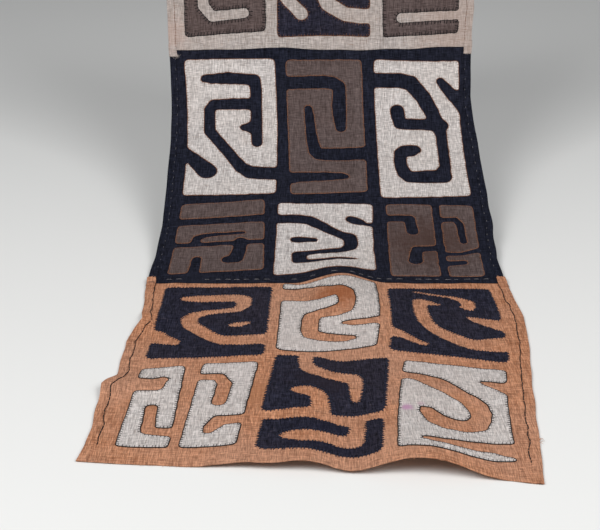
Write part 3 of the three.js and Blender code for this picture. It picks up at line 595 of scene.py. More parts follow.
# the sewn figures: patch corners, bows of the edges, and slots as rows of (x %, y %, width mm)
figures = {
    "cream_upper_left": ("indigo", [(-215, 45), (-85, 42), (-85, 200), (-218, 203)], None, [
        [(-8, 28, 18), (62, 28, 18), (64, 60, 16)],
        [(108, 84, 16), (40, 84, 18), (28, 72, 18), (28, 55, 16)]]),
    "cream_upper_centre": ("brown", [(-60, 42), (75, 45), (75, 202), (-62, 200)], None, [
        [(108, 24, 16), (32, 24, 16), (26, 38, 18), (30, 52, 18), (78, 54, 16)],
        [(-8, 78, 16), (66, 78, 18)]]),
    "cream_upper_right": ("indigo", [(98, 46), (222, 44), (224, 200), (98, 204)], None, [
        [(-8, 22, 16), (50, 24, 16), (74, 40, 20), (72, 64, 20), (36, 66, 16), (32, 50, 14)],
        [(108, 84, 14), (30, 86, 16)]]),
    "cream_lower_left": ("brown", [(-225, 232), (-92, 230), (-90, 467), (-221, 477)], None, [
        [(106, 20, 18), (34, 20, 20), (24, 30, 20), (23, 80, 20), (34, 88, 19), (74, 87, 18)],
        [(-6, 8, 8), (60, 8, 8)],
        [(76, 36, 18), (50, 42, 18), (50, 66, 22)]]),
    "cream_lower_centre": ("indigo", [(-70, 230), (78, 232), (82, 477), (-70, 478)], (0, 0, -2.5, 0), [
        [(-6, 18, 18), (40, 18, 20), (62, 30, 22), (60, 44, 20), (26, 46, 18)],
        [(-6, 64, 16), (12, 76, 20), (25.8, 84.4, 22.5)],
        [(40, 62, 14), (54, 78.1, 24), (74, 85.2, 23.5), (90, 86.2, 25), (106, 86.6, 25)],
        [(106, 56, 18), (72, 66, 18)]]),
    "cream_lower_right": ("brown", [(100, 232), (226, 230), (226, 470), (104, 478)], None, [
        [(-6, 16, 20), (66, 16, 20), (72, 34, 18)],
        [(106, 50, 18), (44, 50, 20), (26, 44, 18), (26, 34, 16)],
        [(72, 67, 17), (32, 68, 18)],
        [(106, 88, 16), (24, 88, 18)]]),
    "navy_upper_left": ("cream", [(-223, 516), (-75, 514), (-71, 782), (-214, 787)], (0, 3, 0, -5), [
        [(22.5, 12, 14), (32, 12.4, 18), (47, 12.2, 21.5), (62, 12.7, 20), (77.8, 13.4, 20),
         (79.2, 20, 20), (79.8, 58.3, 17.5)],
        [(76, 29.2, 22), (31.5, 29.8, 20), (27.5, 33, 18.5), (27.8, 48.5, 19), (45.5, 63, 19),
         (55, 71.4, 20), (63.5, 78.3, 23), (73, 82, 28), (108, 83.4, 29.5)],
        [(74, 46.2, 27), (66, 46.3, 14), (61, 46, 3)],
        [(-9, 63.3, 36), (2, 66.8, 28), (11, 70.2, 24), (16, 73.8, 28), (25.5, 80, 33)]]),
    "navy_upper_centre": ("brown", [(-56, 516), (67, 516), (71, 778), (-47, 783)], (0, 1, 0, 0), [
        [(-7, 14.8, 24), (10, 14.6, 23.5), (50, 14, 23.5), (62, 14.8, 23), (70.3, 17.2, 21.5),
         (69, 30, 24.5), (69.5, 40, 22), (70.3, 46.6, 18)],
        [(27.8, 32.3, 15), (29, 40, 17), (30.3, 50, 18.5), (31.8, 58, 20), (34.8, 65.2, 23),
         (41, 67.5, 27), (55, 67.7, 28), (108, 67.2, 29)],
        [(-9, 86.5, 34), (3, 86.6, 26), (10, 86.3, 23), (45, 85.9, 20.5), (68, 85.8, 16.5),
         (73, 86.4, 13)]]),
    "navy_upper_right": ("cream", [(88, 515), (227.5, 517), (231, 787), (92, 792)], (-3, -3, 2, 0), [
        [(-7, 13.2, 26), (28, 13.3, 26.5), (42.3, 15, 27), (56.2, 24.2, 26.5), (64.6, 33.3, 26),
         (71.6, 43, 24), (74.7, 52, 19), (75.3, 76, 18.5), (70.5, 83.9, 31), (45, 84.3, 28),
         (34, 84.2, 24.5), (28.3, 81, 23), (25.2, 75, 21), (24.8, 69, 20.5), (26.3, 65, 22),
         (31, 63.6, 24.5), (38, 63.3, 25), (43, 62.6, 19)],
        [(76, 43.5, 23), (36, 43.3, 22.7), (27.7, 42.6, 22), (25.2, 33.5, 24)],
        [(77.5, 13.6, 15), (84, 17.6, 18.4), (88.3, 20.6, 20), (93.5, 23, 25), (108, 28, 44)]]),
    "navy_lower_left": ("brown", [(-213, 810), (-88, 797), (-86, 969), (-221, 984)], None, [
        [(-8, 23.8, 17), (40, 24.2, 17.5), (108, 25, 18)],
        [(-8, 54.8, 18), (6, 56, 12), (55, 57, 11.5), (108, 57, 12)],
        [(22.5, 54, 15), (24, 47, 14.5), (32, 44, 11.5), (50, 43.3, 9), (66, 43.3, 8.5),
         (76.5, 43.2, 7.5)],
        [(27.3, 78.3, 15), (26.8, 90, 16.5), (26, 112, 19)],
        [(74.3, 55, 20), (73.5, 66, 21), (71, 75.5, 23), (69.5, 80.5, 24), (62.3, 81.8, 21.5)]]),
    "navy_lower_centre": ("cream", [(-66, 805), (78, 808), (76, 973), (-71, 987)], (0, -2, -2, 0), [
        [(-7, 20, 20.8), (22, 20.1, 20.8), (33, 22.5, 21.5), (45, 29.5, 20.3), (56, 37.2, 17.3),
         (66, 42.5, 17.3), (75.5, 47, 22), (76.5, 55.4, 21.5), (75.5, 60.2, 20), (68, 65, 14.5),
         (60, 65.8, 14), (49, 66.9, 13), (39.5, 67.4, 11.2), (30, 68.3, 12.5), (22, 69.7, 16),
         (22.5, 78.8, 15.5), (30, 80.7, 11), (36, 81.3, 10), (48, 81.4, 9), (63, 80.2, 9),
         (73, 80.7, 7.4), (81.5, 81.1, 4)],
        [(28, 70.3, 12), (28, 78.6, 12)],
        [(19, 48.4, 13.5), (23, 48.5, 15.8), (33, 49.1, 12.5), (39.3, 49.6, 9.6)],
        [(76, 20.7, 15), (80.5, 22.6, 18), (86.5, 25.1, 14.5), (92.5, 28.4, 6.5), (100, 29.4, 7.5),
         (107, 29.7, 8)]]),
    "navy_lower_right": ("brown", [(99, 809), (230, 812), (229, 991), (97, 989)], None, [
        [(57, -8, 13), (58, 108, 13)],
        [(-7, 18, 16), (26, 18, 17), (28, 34, 20)],
        [(58, 57, 14), (31, 59, 18), (28, 76, 22)],
        [(58, 19, 12), (78, 18, 12), (83, 25, 13), (84, 48, 12)],
        [(58, 66, 12), (80, 65, 10), (108, 58, 13)],
        [(58, 80, 14), (80, 78, 14)]]),
    "orange_upper_left": ("indigo", [(-218, 1028), (-74, 1025), (-80, 1226), (-223, 1238)], None, [
        [(20, 17.4, 16), (27, 17.1, 21), (37, 16.9, 24), (68, 16.4, 27), (75, 19, 29), (77, 27, 24),
         (73, 34.5, 18), (55, 37.2, 16), (43, 38.5, 17.5), (33, 42, 22), (28.5, 49.5, 25), (31, 57, 27),
         (41, 65.2, 27), (52, 73.8, 25), (62, 78.4, 26), (78, 79.2, 31), (108, 79, 31)],
        [(68, 57.9, 11), (76, 56.7, 16.5), (83, 54.6, 11)],
        [(-10, 69, 42), (0, 71.7, 40), (12, 77.2, 27), (20, 80, 20), (24.5, 80.4, 7)],
        [(-5, 31, 9), (-4, 42, 14), (-5, 50, 8)]]),
    "orange_upper_centre": ("cream", [(-56, 1014), (72, 1018), (64, 1200), (-63, 1212)], (-7, 5, 12, 0), [
        [(-8, 18.3, 38), (7, 18.3, 39), (21, 18.4, 40), (32, 21.4, 37), (42, 24.8, 33), (51, 27, 28),
         (61, 28.2, 26), (67, 31.5, 26), (69.8, 38, 25), (70, 46, 23), (66, 51.5, 26), (58, 53.8, 26),
         (50, 53.6, 24), (42, 52.4, 22), (34, 54.5, 25), (32, 60, 24), (32, 75, 23.5), (34, 81, 24),
         (46, 85.8, 23), (58, 88.3, 21.5), (68, 89, 17), (76, 88.2, 11)],
        [(107, 64, 22), (101, 65.5, 17), (93, 67.3, 13), (82, 69.3, 14), (73, 70.4, 12.5),
         (67.5, 70, 7)]]),
    "orange_upper_right": ("indigo", [(90, 1030), (228, 1032), (224, 1247), (82, 1212)], (0, 5, 0, -4), [
        [(21, 4.6, 4), (30, 5.6, 8), (40, 8.6, 8.5), (51, 11.4, 8.5), (60, 13.4, 10.5), (69, 16.5, 15),
         (76.3, 21.8, 23), (76.5, 28.3, 22), (67, 29, 5)],
        [(52, 25.8, 4), (45, 25, 10), (38, 23, 18), (29.5, 21.5, 23), (30, 38, 23), (33, 52, 23.5),
         (38, 61, 22), (45, 67.5, 25), (55, 73.5, 27), (66, 79.5, 29), (76, 82.3, 31), (88, 80.5, 38),
         (108, 77.5, 43)],
        [(108, 55, 32), (93, 50.3, 27), (81, 46.4, 19), (73, 43.3, 8)],
        [(-8, 69.5, 28), (4, 73.5, 25), (12, 77.2, 19.5), (20, 82.7, 15.5), (27, 86, 13.5),
         (31.5, 86.8, 11)]]),
    "orange_far_left": ("cream", [(-226, 1268), (-174, 1257), (-178, 1447), (-236, 1445)], None, [
        [(-18, 23, 26), (40, 25, 26), (58, 17, 12)],
        [(48, 53, 15), (53, 81, 17), (122, 84, 20)]]),
    "orange_lower_left": ("cream", [(-152, 1252), (-85, 1248), (-104, 1448), (-166, 1447)], None, [
        [(-18, 17, 17), (37, 18, 17), (50, 27, 19), (48, 49, 18)],
        [(116, 70, 21), (60, 71, 23), (48, 78, 19), (44, 83, 12)]]),
    "orange_lower_centre": ("indigo", [(-61, 1229), (76, 1235), (63, 1376), (-76, 1370)], (0, 0, 9, 0), [
        [(26, -12, 22), (26, 2, 22), (27, 14, 21.5), (30.5, 23.5, 24), (36, 28.8, 25), (43, 33.4, 23),
         (50, 37.5, 24), (59, 40.5, 26), (66, 41.8, 27), (70.5, 41.2, 25), (73, 46, 23), (74.5, 55, 21),
         (75.2, 70, 17.5), (75.7, 80, 14)],
        [(48.5, 114, 28), (47.5, 95, 26), (46, 85, 24.5), (44.5, 78, 25), (40, 72, 26), (33, 67.6, 27),
         (28, 66.3, 23), (23.8, 66, 17)],
        [(33, -3.5, 12), (42.7, 0.7, 12), (49.5, 5.3, 12), (56.7, 7, 12), (65.7, 6.1, 12),
         (76.7, 2.1, 12), (88, -1.2, 12), (98, -3.4, 12)],
        [(46, 0.5, 8), (66, 0.5, 8)],
        [(3, 108, 12), (12, 105.5, 16), (24, 104, 18), (38, 102.5, 16)]]),
    "orange_foot_centre": ("indigo", [(-74, 1394), (60, 1397), (54, 1471), (-80, 1457)], (0, 0, 6, 0), [
        [(18.5, 60.5, 10), (22, 60.5, 19), (27, 62, 26), (34, 65, 29), (43, 65, 29), (51, 63.5, 28),
         (58, 63.5, 27), (65, 65.5, 26), (71, 63.5, 29), (76.5, 61, 30), (79, 48, 24), (79.5, 25, 22),
         (80, 2, 19.5), (80.5, -20, 21)],
        [(38, -6, 8), (44, -1.5, 10), (50, 0, 13), (56, 0, 17), (62, 1, 22), (70, 1, 22),
         (77, 1.5, 21)]]),
    "orange_lower_right": ("cream", [(97, 1242), (219, 1270), (202, 1475), (72, 1475)], (-3, -4, 5, 2.5), [
        [(-6, 18.8, 23), (7, 19, 21), (18, 21, 23), (27, 24.3, 28), (36, 28.3, 30), (45, 33, 28),
         (54, 38, 27.5), (62, 41.5, 29), (67.5, 46, 30), (71.5, 53, 27), (71.5, 60, 24.5),
         (67, 67.5, 26), (58, 70.8, 27), (50, 72, 28), (41, 72, 31), (34, 69.5, 31), (28, 65, 25),
         (23.5, 60.5, 19), (19.5, 57.8, 9)],
        [(107, 23.5, 34), (99, 21.5, 28), (90, 19.8, 19), (82, 18.8, 14), (75.5, 17.8, 8)],
        [(22, 93, 8), (31, 93.8, 12), (40, 93.6, 13.5), (50, 92.5, 17), (60, 91.5, 19),
         (72, 89.8, 20.5), (82, 89.2, 22), (92, 90, 28), (108, 91, 35)]]),
}
figureCut = {"cornerRounding": 6, "slotRounding": 4, "netStep": 1.6, "pointStep": 1.9, "innerStep": 4.2,
             "cutWander": 0.45, "cutWanderSize": 19, "edgeInset": 0.9, "seedMargin": 1.7,
             "netMargin": (6, 12), "fewestPoints": 8,
             "edgeRings": [(0.405, 0.93), (0.12, 0.6), (0.0, 0.25), (0.25, 0.0)]}  # inset mm, share of height


def smoothMax(a, b, rounding):
    blend = np.maximum(rounding - np.abs(a - b), 0) / rounding
    return np.maximum(a, b) + blend * blend * rounding / 4


def figureDistance(figure, across, row, seed):
    # below zero on the figure's cloth, above zero off it or in a slot
    _, corners, bows, slots = figure
    f = figureCut
    corners = np.array(corners, dtype=float)
    total = None
    for index in range(4):
        start, run = corners[index], corners[(index + 1) % 4] - corners[index]
        reachX, reachY = across - start[0], row - start[1]
        share = np.clip((reachX * run[0] + reachY * run[1]) / (run @ run), 0, 1)
        bow = bows[index] if bows else 0
        edge = -(run[0] * reachY - run[1] * reachX) / np.hypot(*run) - 4 * bow * share * (1 - share)
        total = edge if total is None else smoothMax(total, edge, f["cornerRounding"])
    for slot in slots:
        x, y, width = np.array(slot, dtype=float).T
        topSide = corners[0] + (corners[1] - corners[0]) * x[:, None] / 100
        lowSide = corners[3] + (corners[2] - corners[3]) * x[:, None] / 100
        places = topSide + (lowSide - topSide) * y[:, None] / 100
        nearest = np.inf
        for a, b, wideA, wideB in zip(places[:-1], places[1:], width[:-1], width[1:]):
            share, away = besideLine(across, row, a, b)
            nearest = np.minimum(nearest, away - (wideA + (wideB - wideA) * share) / 2)
        total = smoothMax(total, -nearest, f["slotRounding"])
    return total + f["cutWander"] * wander(across, row, f["cutWanderSize"], seed)


def walkOutlines(field, left, top, step):
    # closed lines where the field passes zero, walked with the cloth always on the same side
    inside = field < 0
    cells = inside[:-1, :-1].astype(int) + inside[:-1, 1:] + inside[1:, :-1] + inside[1:, 1:]
    ahead = {}
    for row, column in zip(*np.nonzero((cells > 0) & (cells < 4))):
        ring = [(column, row), (column + 1, row), (column + 1, row + 1), (column, row + 1)]
        isIn = [inside[r, c] for c, r in ring]
        changes = [side for side in range(4) if isIn[side] != isIn[(side + 1) % 4]]
        middle = sum(field[r, c] for c, r in ring) < 0
        for enter in (side for side in changes if isIn[side]):
            leaving = [side for side in changes if not isIn[side]]
            leave = leaving[0] if len(leaving) == 1 else (enter + (1 if middle else 3)) % 4
            (c0, r0), (c1, r1) = ring[enter], ring[(enter + 1) % 4]
            share = field[r0, c0] / (field[r0, c0] - field[r1, c1])
            point = (left + step * (c0 + (c1 - c0) * share), top + step * (r0 + (r1 - r0) * share))
            (d0, s0), (d1, s1) = ring[leave], ring[(leave + 1) % 4]
            ahead[(c0 + c1, r0 + r1)] = ((d0 + d1, s0 + s1), point)
    outlines = []
    while ahead:
        outline, place = [], next(iter(ahead))
        while place in ahead:
            place, point = ahead.pop(place)
            outline.append(point)
        outlines.append(np.array(outline))
    return outlines


def evened(outline, step):
    # the closed line softened a little and cut into equal steps
    for _ in range(2):
        outline = (np.roll(outline, 1, axis=0) + 2 * outline + np.roll(outline, -1, axis=0)) / 4
    closed = np.concatenate([outline, outline[:1]])
    length = np.concatenate([[0], np.cumsum(np.hypot(*np.diff(closed, axis=0).T))])
    places = np.linspace(0, length[-1], max(12, int(length[-1] / step)), endpoint=False)
    return np.stack([np.interp(places, length, closed[:, axis]) for axis in (0, 1)], axis=1)


def signedArea(outline):
    x, y = outline.T
    return 0.5 * np.sum(x * np.roll(y, -1) - y * np.roll(x, -1))


def insideLoops(points, loops):
    result = np.zeros(len(points), dtype=bool)
    for loop in loops:
        x0, y0 = loop.T
        x1, y1 = np.roll(loop, -1, axis=0).T
        px, py = points[:, 0:1], points[:, 1:2]
        with np.errstate(divide="ignore", invalid="ignore"):
            hit = ((y0 > py) != (y1 > py)) & (px < x0 + (x1 - x0) * (py - y0) / (y1 - y0))
        result ^= hit.sum(axis=1) % 2 == 1
    return result


def outwards(outline, sign):
    run = np.roll(outline, -1, axis=0) - np.roll(outline, 1, axis=0)
    run /= np.hypot(*run.T)[:, None]
    return sign * np.stack([run[:, 1], -run[:, 0]], axis=1)


def figureScraps(figure, seed):
    # the figure as its separate scraps, largest first, each an outer line and its holes
    f = figureCut
    corners = np.array(figure[1], dtype=float)
    left, top = corners.min(axis=0) - f["netMargin"][0]
    right, low = corners.max(axis=0) + f["netMargin"][1]
    across, row = np.meshgrid(np.arange(left, right, f["netStep"]), np.arange(top, low, f["netStep"]))
    found = walkOutlines(figureDistance(figure, across, row, seed), left, top, f["netStep"])
    lines = [evened(x, f["pointStep"]) for x in found if len(x) > f["fewestPoints"]]
    areas = [signedArea(x) for x in lines]
    sign = np.sign(max(areas, key=abs))
    outers = [x for x, area in zip(lines, areas) if area * sign > 0]
    outers.sort(key=lambda x: -abs(signedArea(x)))
    holes = [x for x, area in zip(lines, areas) if area * sign < 0]
    return [[outer] + [hole for hole in holes if insideLoops(hole[:1], [outer])[0]] for outer in outers], sign


def makeScrap(name, figure, seed, loops, sign, base, finish):
    # a thin closed body with a turned edge, lying on the panel
    f = figureCut
    thick = clothShape["figureThickness"]
    turns = [outwards(loop, sign) for loop in loops]
    inner = [loop - f["edgeInset"] * turn for loop, turn in zip(loops, turns)]
    ringAll = np.concatenate(inner)
    lo, hi = ringAll.min(axis=0), ringAll.max(axis=0)
    step = f["innerStep"]
    gridX, gridY = np.meshgrid(np.arange(lo[0], hi[0], step), np.arange(lo[1], hi[1], step * 0.866))
    gridX[1::2] += step / 2
    seeds = np.stack([gridX.ravel(), gridY.ravel()], axis=1)
    seeds = seeds[figureDistance(figure, seeds[:, 0], seeds[:, 1], seed) < -f["edgeInset"] - f["seedMargin"]]
    seeds = seeds[insideLoops(seeds, loops)]
    flat = np.concatenate([ringAll, seeds])
    edges, used = [], 0
    for loop in inner:
        edges += [(used + k, used + (k + 1) % len(loop)) for k in range(len(loop))]
        used += len(loop)
    made = delaunay_2d_cdt([tuple(p) for p in flat], edges, [], 0, 1e-5)
    flat = np.array([tuple(p) for p in made[0]])
    triangles = np.array(made[2])
    triangles = triangles[insideLoops(flat[triangles].mean(axis=1), inner)]
    a, b, c = (flat[triangles[:, k]] for k in range(3))
    turned = (b[:, 0] - a[:, 0]) * (c[:, 1] - a[:, 1]) - (b[:, 1] - a[:, 1]) * (c[:, 0] - a[:, 0]) < 0
    triangles[turned] = triangles[turned][:, ::-1]
    placeOf = {old: new for new, olds in enumerate(made[3]) for old in olds}
    # rings from the face, over the turned edge, to the back
    count = len(flat)
    places, heights = [flat, flat], [np.full(count, base + thick), np.full(count, base)]
    faces = triangles[:, ::-1].tolist() + (triangles + count).tolist()
    used, start = 2 * count, 0
    for loop, turn in zip(loops, turns):
        size = len(loop)
        rings = [np.array([placeOf[start + k] for k in range(size)])]
        for inset, share in f["edgeRings"]:
            places.append(loop - inset * turn)
            heights.append(np.full(size, base + thick * share))
            rings.append(used + np.arange(size))
            used += size
        rings.append(rings[0] + count)
        for upper, lower in zip(rings[:-1], rings[1:]):
            quads = np.stack([upper, np.roll(upper, -1), np.roll(lower, -1), lower], axis=-1)
            faces += (quads[:, ::-1] if sign < 0 else quads).tolist()
        start += size
    places, heights = np.concatenate(places), np.concatenate(heights)
    points = clothPoint(places[:, 0], unslanted(*places.T), heights)
    return addPiece(name, points, faces, finish, places / 1000)


# how each kind of figure is sewn down: thread, radius of the cord and of the ticks, where the ticks start
# outside the edge and end inside it, and how far apart they are, in mm
edgeSewing = {
    ("cream", "brown"): {"thread": "darkThread", "cord": 0.66, "tick": 0.75,
                         "from": 1.2, "to": -4.8, "spacing": 5.2},
    ("cream", "indigo"): {"thread": "rustThread", "cord": 0.55, "tick": 0.36,
                          "from": 0.9, "to": -3.4, "spacing": 4.9},
    ("navy", "cream"): {"thread": "rustThread", "cord": 0.58, "tick": 0.28,
                        "from": 0.8, "to": -2.6, "spacing": 5.2},
    ("navy", "brown"): {"thread": "rustThread", "cord": 0.58, "tick": 0.28,
                        "from": 0.8, "to": -2.4, "spacing": 5.0},
    ("orange", "indigo"): {"thread": "blueThread", "cord": 0.4, "tick": 0.72,
                           "from": 3.3, "to": -1.8, "spacing": 4.1},
    ("orange", "cream"): {"thread": "darkThread", "cord": 0.72, "tick": 0.38,
                          "from": 1.1, "to": -3.1, "spacing": 4.6},
}
# how evenly a hand sews, in mm, and how high the threads lie
handSewing = {"cordOut": 0.3, "cordRaised": 0.7, "unevenSpacing": 0.22, "lean": (0.14, 0.12),
              "stretch": (0.75, 1.15), "dipOutside": 0.25, "dipInside": 0.3, "besideEdge": (0.45, 0.55),
              "overEdge": (-0.45, 0.6), "onFigure": 0.75, "unevenStitch": 0.25,
              "stitchRises": [(0, -0.35), (0.18, 0.2), (0.5, 0.3), (0.82, 0.2), (1, -0.35)]}
chance = np.random.default_rng(7)
sewn = {}          # panel -> thread -> groups of paths
sewnOn = {"cream": [], "navy": [], "orange": []}  # pieces on each panel
figureBase = clothShape["thickness"] + clothShape["gap"]


def addThreads(ground, thread, paths, radius, sides, closed=False):
    sewn.setdefault(ground, {}).setdefault(thread, []).append((paths, radius, sides, closed))


def sewEdge(loop, sign, ground, sewing):
    # a cord along the edge of a figure, and ticks of thread across it
    h = handSewing
    turn = outwards(loop, sign)
    low, high = clothShape["thickness"], figureBase + clothShape["figureThickness"]
    cordHeight = low + sewing["cord"] * h["cordRaised"]
    cord = np.concatenate([loop + h["cordOut"] * turn, np.full((len(loop), 1), cordHeight)], axis=1)
    cord[:, 1] = unslanted(cord[:, 0], cord[:, 1])
    addThreads(ground, sewing["thread"], cord[None], sewing["cord"], 5, True)
    length = np.hypot(*(np.roll(loop, -1, axis=0) - loop).T)
    total = length.sum()
    many = max(3, int(total / sewing["spacing"]))
    jitter = chance.uniform(-h["unevenSpacing"], h["unevenSpacing"], many)
    places = (np.arange(many) + jitter) * total / many % total
    measures = np.concatenate([[0], np.cumsum(length)])
    at, way = (np.stack([np.interp(places, measures, np.append(x[:, k], x[0, k])) for k in (0, 1)], axis=1)
               for x in (loop, turn))
    along = np.stack([-way[:, 1], way[:, 0]], axis=1)
    lean = chance.normal(*h["lean"], many)[:, None]
    stretch = chance.uniform(*h["stretch"], many)[:, None]
    start, end = sewing["from"] * stretch, sewing["to"] * stretch
    edge, tick = h["overEdge"][0], sewing["tick"]
    steps = [(start, low - h["dipOutside"]), (start * h["besideEdge"][0], low + h["besideEdge"][1]),
             (edge + 0 * start, high + tick * h["overEdge"][1]),
             ((end + edge) / 2, high + tick * h["onFigure"]), (end, high - h["dipInside"])]
    path = [np.concatenate([at + way * away + along * lean * away, np.full((many, 1), height)], axis=1)
            for away, height in steps]
    path = np.stack(path, axis=1)
    path[..., 1] = unslanted(path[..., 0], path[..., 1])
    addThreads(ground, sewing["thread"], path, tick, 4)


for number, (figureName, figure) in enumerate(figures.items()):
    ground, colour = figureName.split("_")[0], figure[0]
    scraps, sign = figureScraps(figure, 100 + number)
    for count, loops in enumerate(scraps, start=1):
        node = f"{figureName}_{count}"
        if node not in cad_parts:
            continue
        piece = makeScrap(node + "_cloth", figure, 100 + number, loops, sign, figureBase, colour + "Figure")
        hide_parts(node)
        sewnOn[ground].append(piece)
        for loop in loops:
            sewEdge(loop, sign, ground, edgeSewing[(ground, colour)])
print("figures made:", sum(len(x) for x in sewnOn.values()))


# hem and seam stitches, hem ends and frayed threads
def runningStitches(line, sewing, seed):
    # separate stitches along a line of places; each dips into the cloth at both ends
    across, row, height = line
    uneven, length = handSewing["unevenStitch"], sewing["stitch"]
    pick = np.random.default_rng(seed)
    steps = np.concatenate([[0], np.cumsum(np.hypot(np.diff(across), np.diff(row)))])
    many = int(steps[-1] / (length + sewing["gap"]))
    begin = (np.arange(many) + pick.uniform(-uneven, uneven, many) * 0.5) * (length + sewing["gap"])
    kept = pick.uniform(0, 1, many) >= sewing["skip"]
    begin, long = begin[kept], (length * pick.uniform(1 - uneven, 1 + uneven, many))[kept]
    path = []
    for share, rise in handSewing["stitchRises"]:
        s = begin + long * share
        path.append(np.stack([np.interp(s, steps, across), np.interp(s, steps, row),
                              np.interp(s, steps, height) + rise], axis=1))
    return np.stack(path, axis=1)


# stitches along the hems: distance from the edge, rows, sizes in mm, how far the line drifts
hemSewing = {
    # the cream and orange hem threads are drawn thick, the orange one nearly unbroken, so their dark line is
    # thread and also painted shade of the hem's step
    "cream": {"thread": "rustThread", "inset": 11.6, "rows": (4, 497), "stitch": 3.6, "gap": 1.2,
              "radius": 0.38, "skip": 0, "drift": 0.6, "driftSize": 30},
    "navy": {"thread": "greyThread", "inset": 9.5, "rows": (530, 990), "stitch": 3.6, "gap": 13,
             "radius": 0.30, "skip": 0, "drift": 0.8, "driftSize": 30},
    "orange": {"thread": "darkThread", "inset": 12.1, "rows": (1004, 1466), "stitch": 5.6, "gap": 0.5,
               "radius": 0.68, "skip": 0, "drift": 1.0, "driftSize": 30},
}
for ground, hem in hemSewing.items():
    part = panelParts[ground + "_panel"]
    top, bottom = hem["rows"]
    row = np.linspace(top, bottom, int((bottom - top) / 2))
    left, right = edgesAt(row)
    for side, seed in (("left", 31), ("right", 32)):
        drift = hem["drift"] * wander(row, 0, hem["driftSize"], seed)
        across = left + hem["inset"] + drift if side == "left" else right - hem["inset"] - drift
        line = across, row, panelFaceAt(part, across, row)
        addThreads(ground, hem["thread"], runningStitches(line, hem, seed + len(ground)), hem["radius"], 5)

# stitches along the lapped seams: height above the panel's end and sizes in mm, and the share worn away
seamSewing = {
    "cream": {"thread": "creamThread", "above": 7.0, "stitch": 3.0, "gap": 3.4, "radius": 0.26,
              "skip": 0.25, "drift": 0.6, "driftSize": 60, "inset": 14},
    "navy": {"thread": "greyThread", "above": 9.0, "stitch": 8.0, "gap": 5.5, "radius": 0.36,
             "skip": 0.3, "drift": 0.6, "driftSize": 60, "inset": 14},
}
for ground, seam in seamSewing.items():
    part = panelParts[ground + "_panel"]
    left, right = edgesAt(part["bottom"])
    across = np.linspace(left + seam["inset"], right - seam["inset"], 240)
    drift = endWaver(part, across) * 0.4 + seam["drift"] * wander(across, 0, seam["driftSize"], 41)
    row = part["bottom"] - seam["above"] + drift
    line = across, row, panelFaceAt(part, across, row)
    addThreads(ground, seam["thread"], runningStitches(line, seam, 51), seam["radius"], 5)

# hem strips that run on past a seam: rows from start to end, heights of the back before and after the row
# where the strip steps down, how far the end flares, and how deep it starts inside the hem
hemEnds = {
    "cream_hem_end_left": {"rows": (490, 510), "heights": (3.72, 2.3), "turn": (499.5, 502.5),
                           "flare": 3.0, "sunk": 1.1},
    "cream_hem_end_right": {"rows": (483, 505), "heights": (3.72, 2.3), "turn": (492.5, 495.5),
                            "flare": 0.6, "sunk": 1.1},
    "orange_hem_end_left": {"rows": (998, 1024), "heights": (3.74, 2.25), "turn": (1010, 1013),
                            "flare": 0.0, "sunk": 0},
    "orange_hem_end_right": {"rows": (998, 1024), "heights": (3.74, 2.25), "turn": (1010, 1013),
                             "flare": 0.0, "sunk": 0},
}
stripShape = {"width": 13.2, "columns": [-0.6, -0.2, 0.5, 3, 6, 9, 11.4, 12.3, 12.6], "rowCount": 19,
              "narrowing": 0.06, "narrowRun": 14, "flareRun": 7, "sinkRun": 5,
              "thickness": (0.25, 0.55), "edgeRun": 1.2}
for name, end in hemEnds.items():
    ground, side = name.split("_")[0], name.split("_")[-1]
    s = stripShape
    outset = -s["columns"][0]
    (first, last), (turn, turned), (before, after) = end["rows"], end["turn"], end["heights"]
    rows = np.linspace(first, last, s["rowCount"])[:, None]
    left, right = edgesAt(rows)
    narrow = 1 - s["narrowing"] * np.clip(np.abs(rows - turn) / s["narrowRun"], 0, 1)
    flared = end["flare"] * np.clip((rows - last + s["flareRun"]) / s["flareRun"], 0, 1) ** 2
    inset = -outset + (np.array(s["columns"]) + outset) * (narrow + flared / s["width"])
    across = left + inset if side == "left" else (right - inset)[:, ::-1]
    share = np.clip((rows - turn) / (turned - turn), 0, 1)
    sunk = end["sunk"] * np.clip((first + s["sinkRun"] - rows) / s["sinkRun"], 0, 1)
    back = before + (after - before) * share - sunk + 0 * across
    edgeAway = np.minimum(inset + outset, s["width"] * narrow + flared - inset - outset)
    thick = s["thickness"][0] + s["thickness"][1] * np.sqrt(np.clip(edgeAway / s["edgeRun"], 0, 1))
    thick = thick if side == "left" else thick[:, ::-1]
    sewnOn[ground].append(closedGrid(name, across, rows + 0 * across, back, back + thick, ground + "Ground"))

fraying = {"radius": 0.16, "points": 7, "scatter": 0.45, "bend": 0.6, "lengths": (0.35, 1.1)}


def frayPaths(across, row, height, way, many, length, seed, rise=1.2):
    # loose threads that leave a worn edge and bend as they go
    pick = np.random.default_rng(seed)
    steps = np.linspace(0, 1, fraying["points"])[None, :]
    scatter, bend = (pick.normal(0, fraying[x], many)[:, None] for x in ("scatter", "bend"))
    angle = way + scatter + bend * steps
    pace = length * pick.uniform(*fraying["lengths"], many)[:, None] / fraying["points"]
    x = pick.uniform(*across, many)[:, None] + np.cumsum(np.cos(angle) * pace, axis=1)
    y = pick.uniform(*row, many)[:, None] + np.cumsum(np.sin(angle) * pace, axis=1)
    z = height + rise * np.sin(math.pi * steps * 0.8) * pick.uniform(0.2, 1, many)[:, None]
    return np.stack([x, y, z], axis=-1)


down, outRight = math.pi / 2, 0.0
leftOne, rightOne = edgesAt(500)
leftTwo, rightTwo = edgesAt(1000)
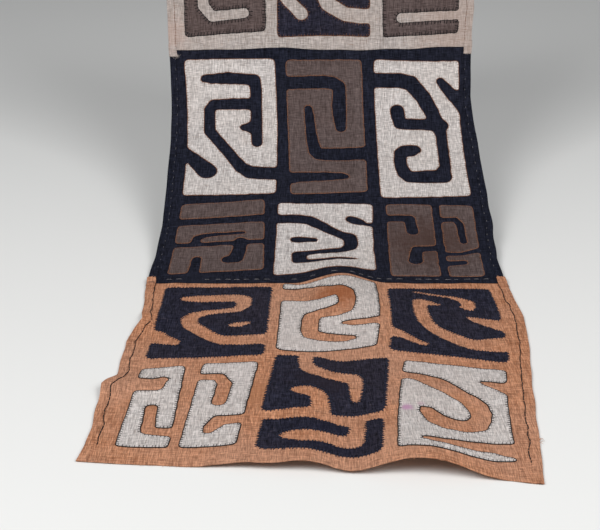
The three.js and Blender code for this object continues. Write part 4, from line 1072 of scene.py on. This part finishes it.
# thread, and tufts as across, row, height, direction, how many, length, seed and rise
frays = {
    "cream": ("creamThread", [
        ((leftOne + 2, leftOne + 15), (506, 509), 2.9, down - 0.3, 26, 6, 61),
        ((rightOne - 10, rightOne - 1), (503, 505), 2.9, down, 10, 3, 62)]),
    "orange": ("orangeThread", [
        ((leftTwo + 1, leftTwo + 10), (998, 1000), 4.3, -down, 12, 4, 63, 0.5),
        ((rightTwo - 10, rightTwo - 1), (998, 1000), 4.3, -down, 12, 4, 64, 0.5),
        ((227, 231), (1412, 1422), 1.4, outRight - 0.4, 16, 8, 65, 2.2),
        ((-260, 215), (1495, 1496.5), 0.7, down, 90, 3.2, 66, 0.3)]),
}
for ground, (thread, tufts) in frays.items():
    for tuft in tufts:
        addThreads(ground, thread, frayPaths(*tuft), fraying["radius"], 4)

for ground, threads in sewn.items():
    for thread, groups in threads.items():
        sewnOn[ground].append(tubePieces(f"{ground}_sewing_{thread}", groups, thread))
print("sewing made:", {ground: len(threads) for ground, threads in sewn.items()})


# studio floor, sky and two soft lights
studio = {"floor": (226, 226, 224), "floorRoughness": 0.9, "floorSize": 14, "sky": (0.95, 0.97, 1.0, 1),
          "skyStrength": 0.22, "aim": (0, -0.35, -0.45),
          "lights": {"key": {"place": (-1.5, -2.2, 1.6), "size": 1.5, "power": 66},
                     "fill": {"place": (1.6, -2.1, 1.6), "size": 1.7, "power": 58}}}

bpy.ops.mesh.primitive_plane_add(size=studio["floorSize"], location=(0, -0.4, cadBox[0].z))
floor = bpy.context.object
floor.name = "studio_floor"
floorFinish, floorTree = newMaterial("studioFloor")
floorSurface = floorTree.nodes["Principled BSDF"].inputs
floorSurface["Base Color"].default_value = rgb(*studio["floor"])
floorSurface["Roughness"].default_value = studio["floorRoughness"]
floor.data.materials.append(floorFinish)

world = bpy.data.worlds.new("studioWorld")
world.use_nodes = True
world.node_tree.nodes["Background"].inputs["Color"].default_value = studio["sky"]
world.node_tree.nodes["Background"].inputs["Strength"].default_value = studio["skyStrength"]
bpy.context.scene.world = world
bpy.context.scene.view_settings.view_transform = "Standard"

for name, look in studio["lights"].items():
    light = bpy.data.objects.new(name + "_light", bpy.data.lights.new(name, "AREA"))
    light.data.size = look["size"]
    light.data.energy = look["power"]
    light.location = look["place"]
    away = np.array(look["place"]) - studio["aim"]
    tilt = math.atan2(math.hypot(away[0], away[1]), away[2])
    light.rotation_euler = (tilt, 0, math.atan2(away[0], -away[1]))
    bpy.context.scene.collection.objects.link(light)
print("studio set")
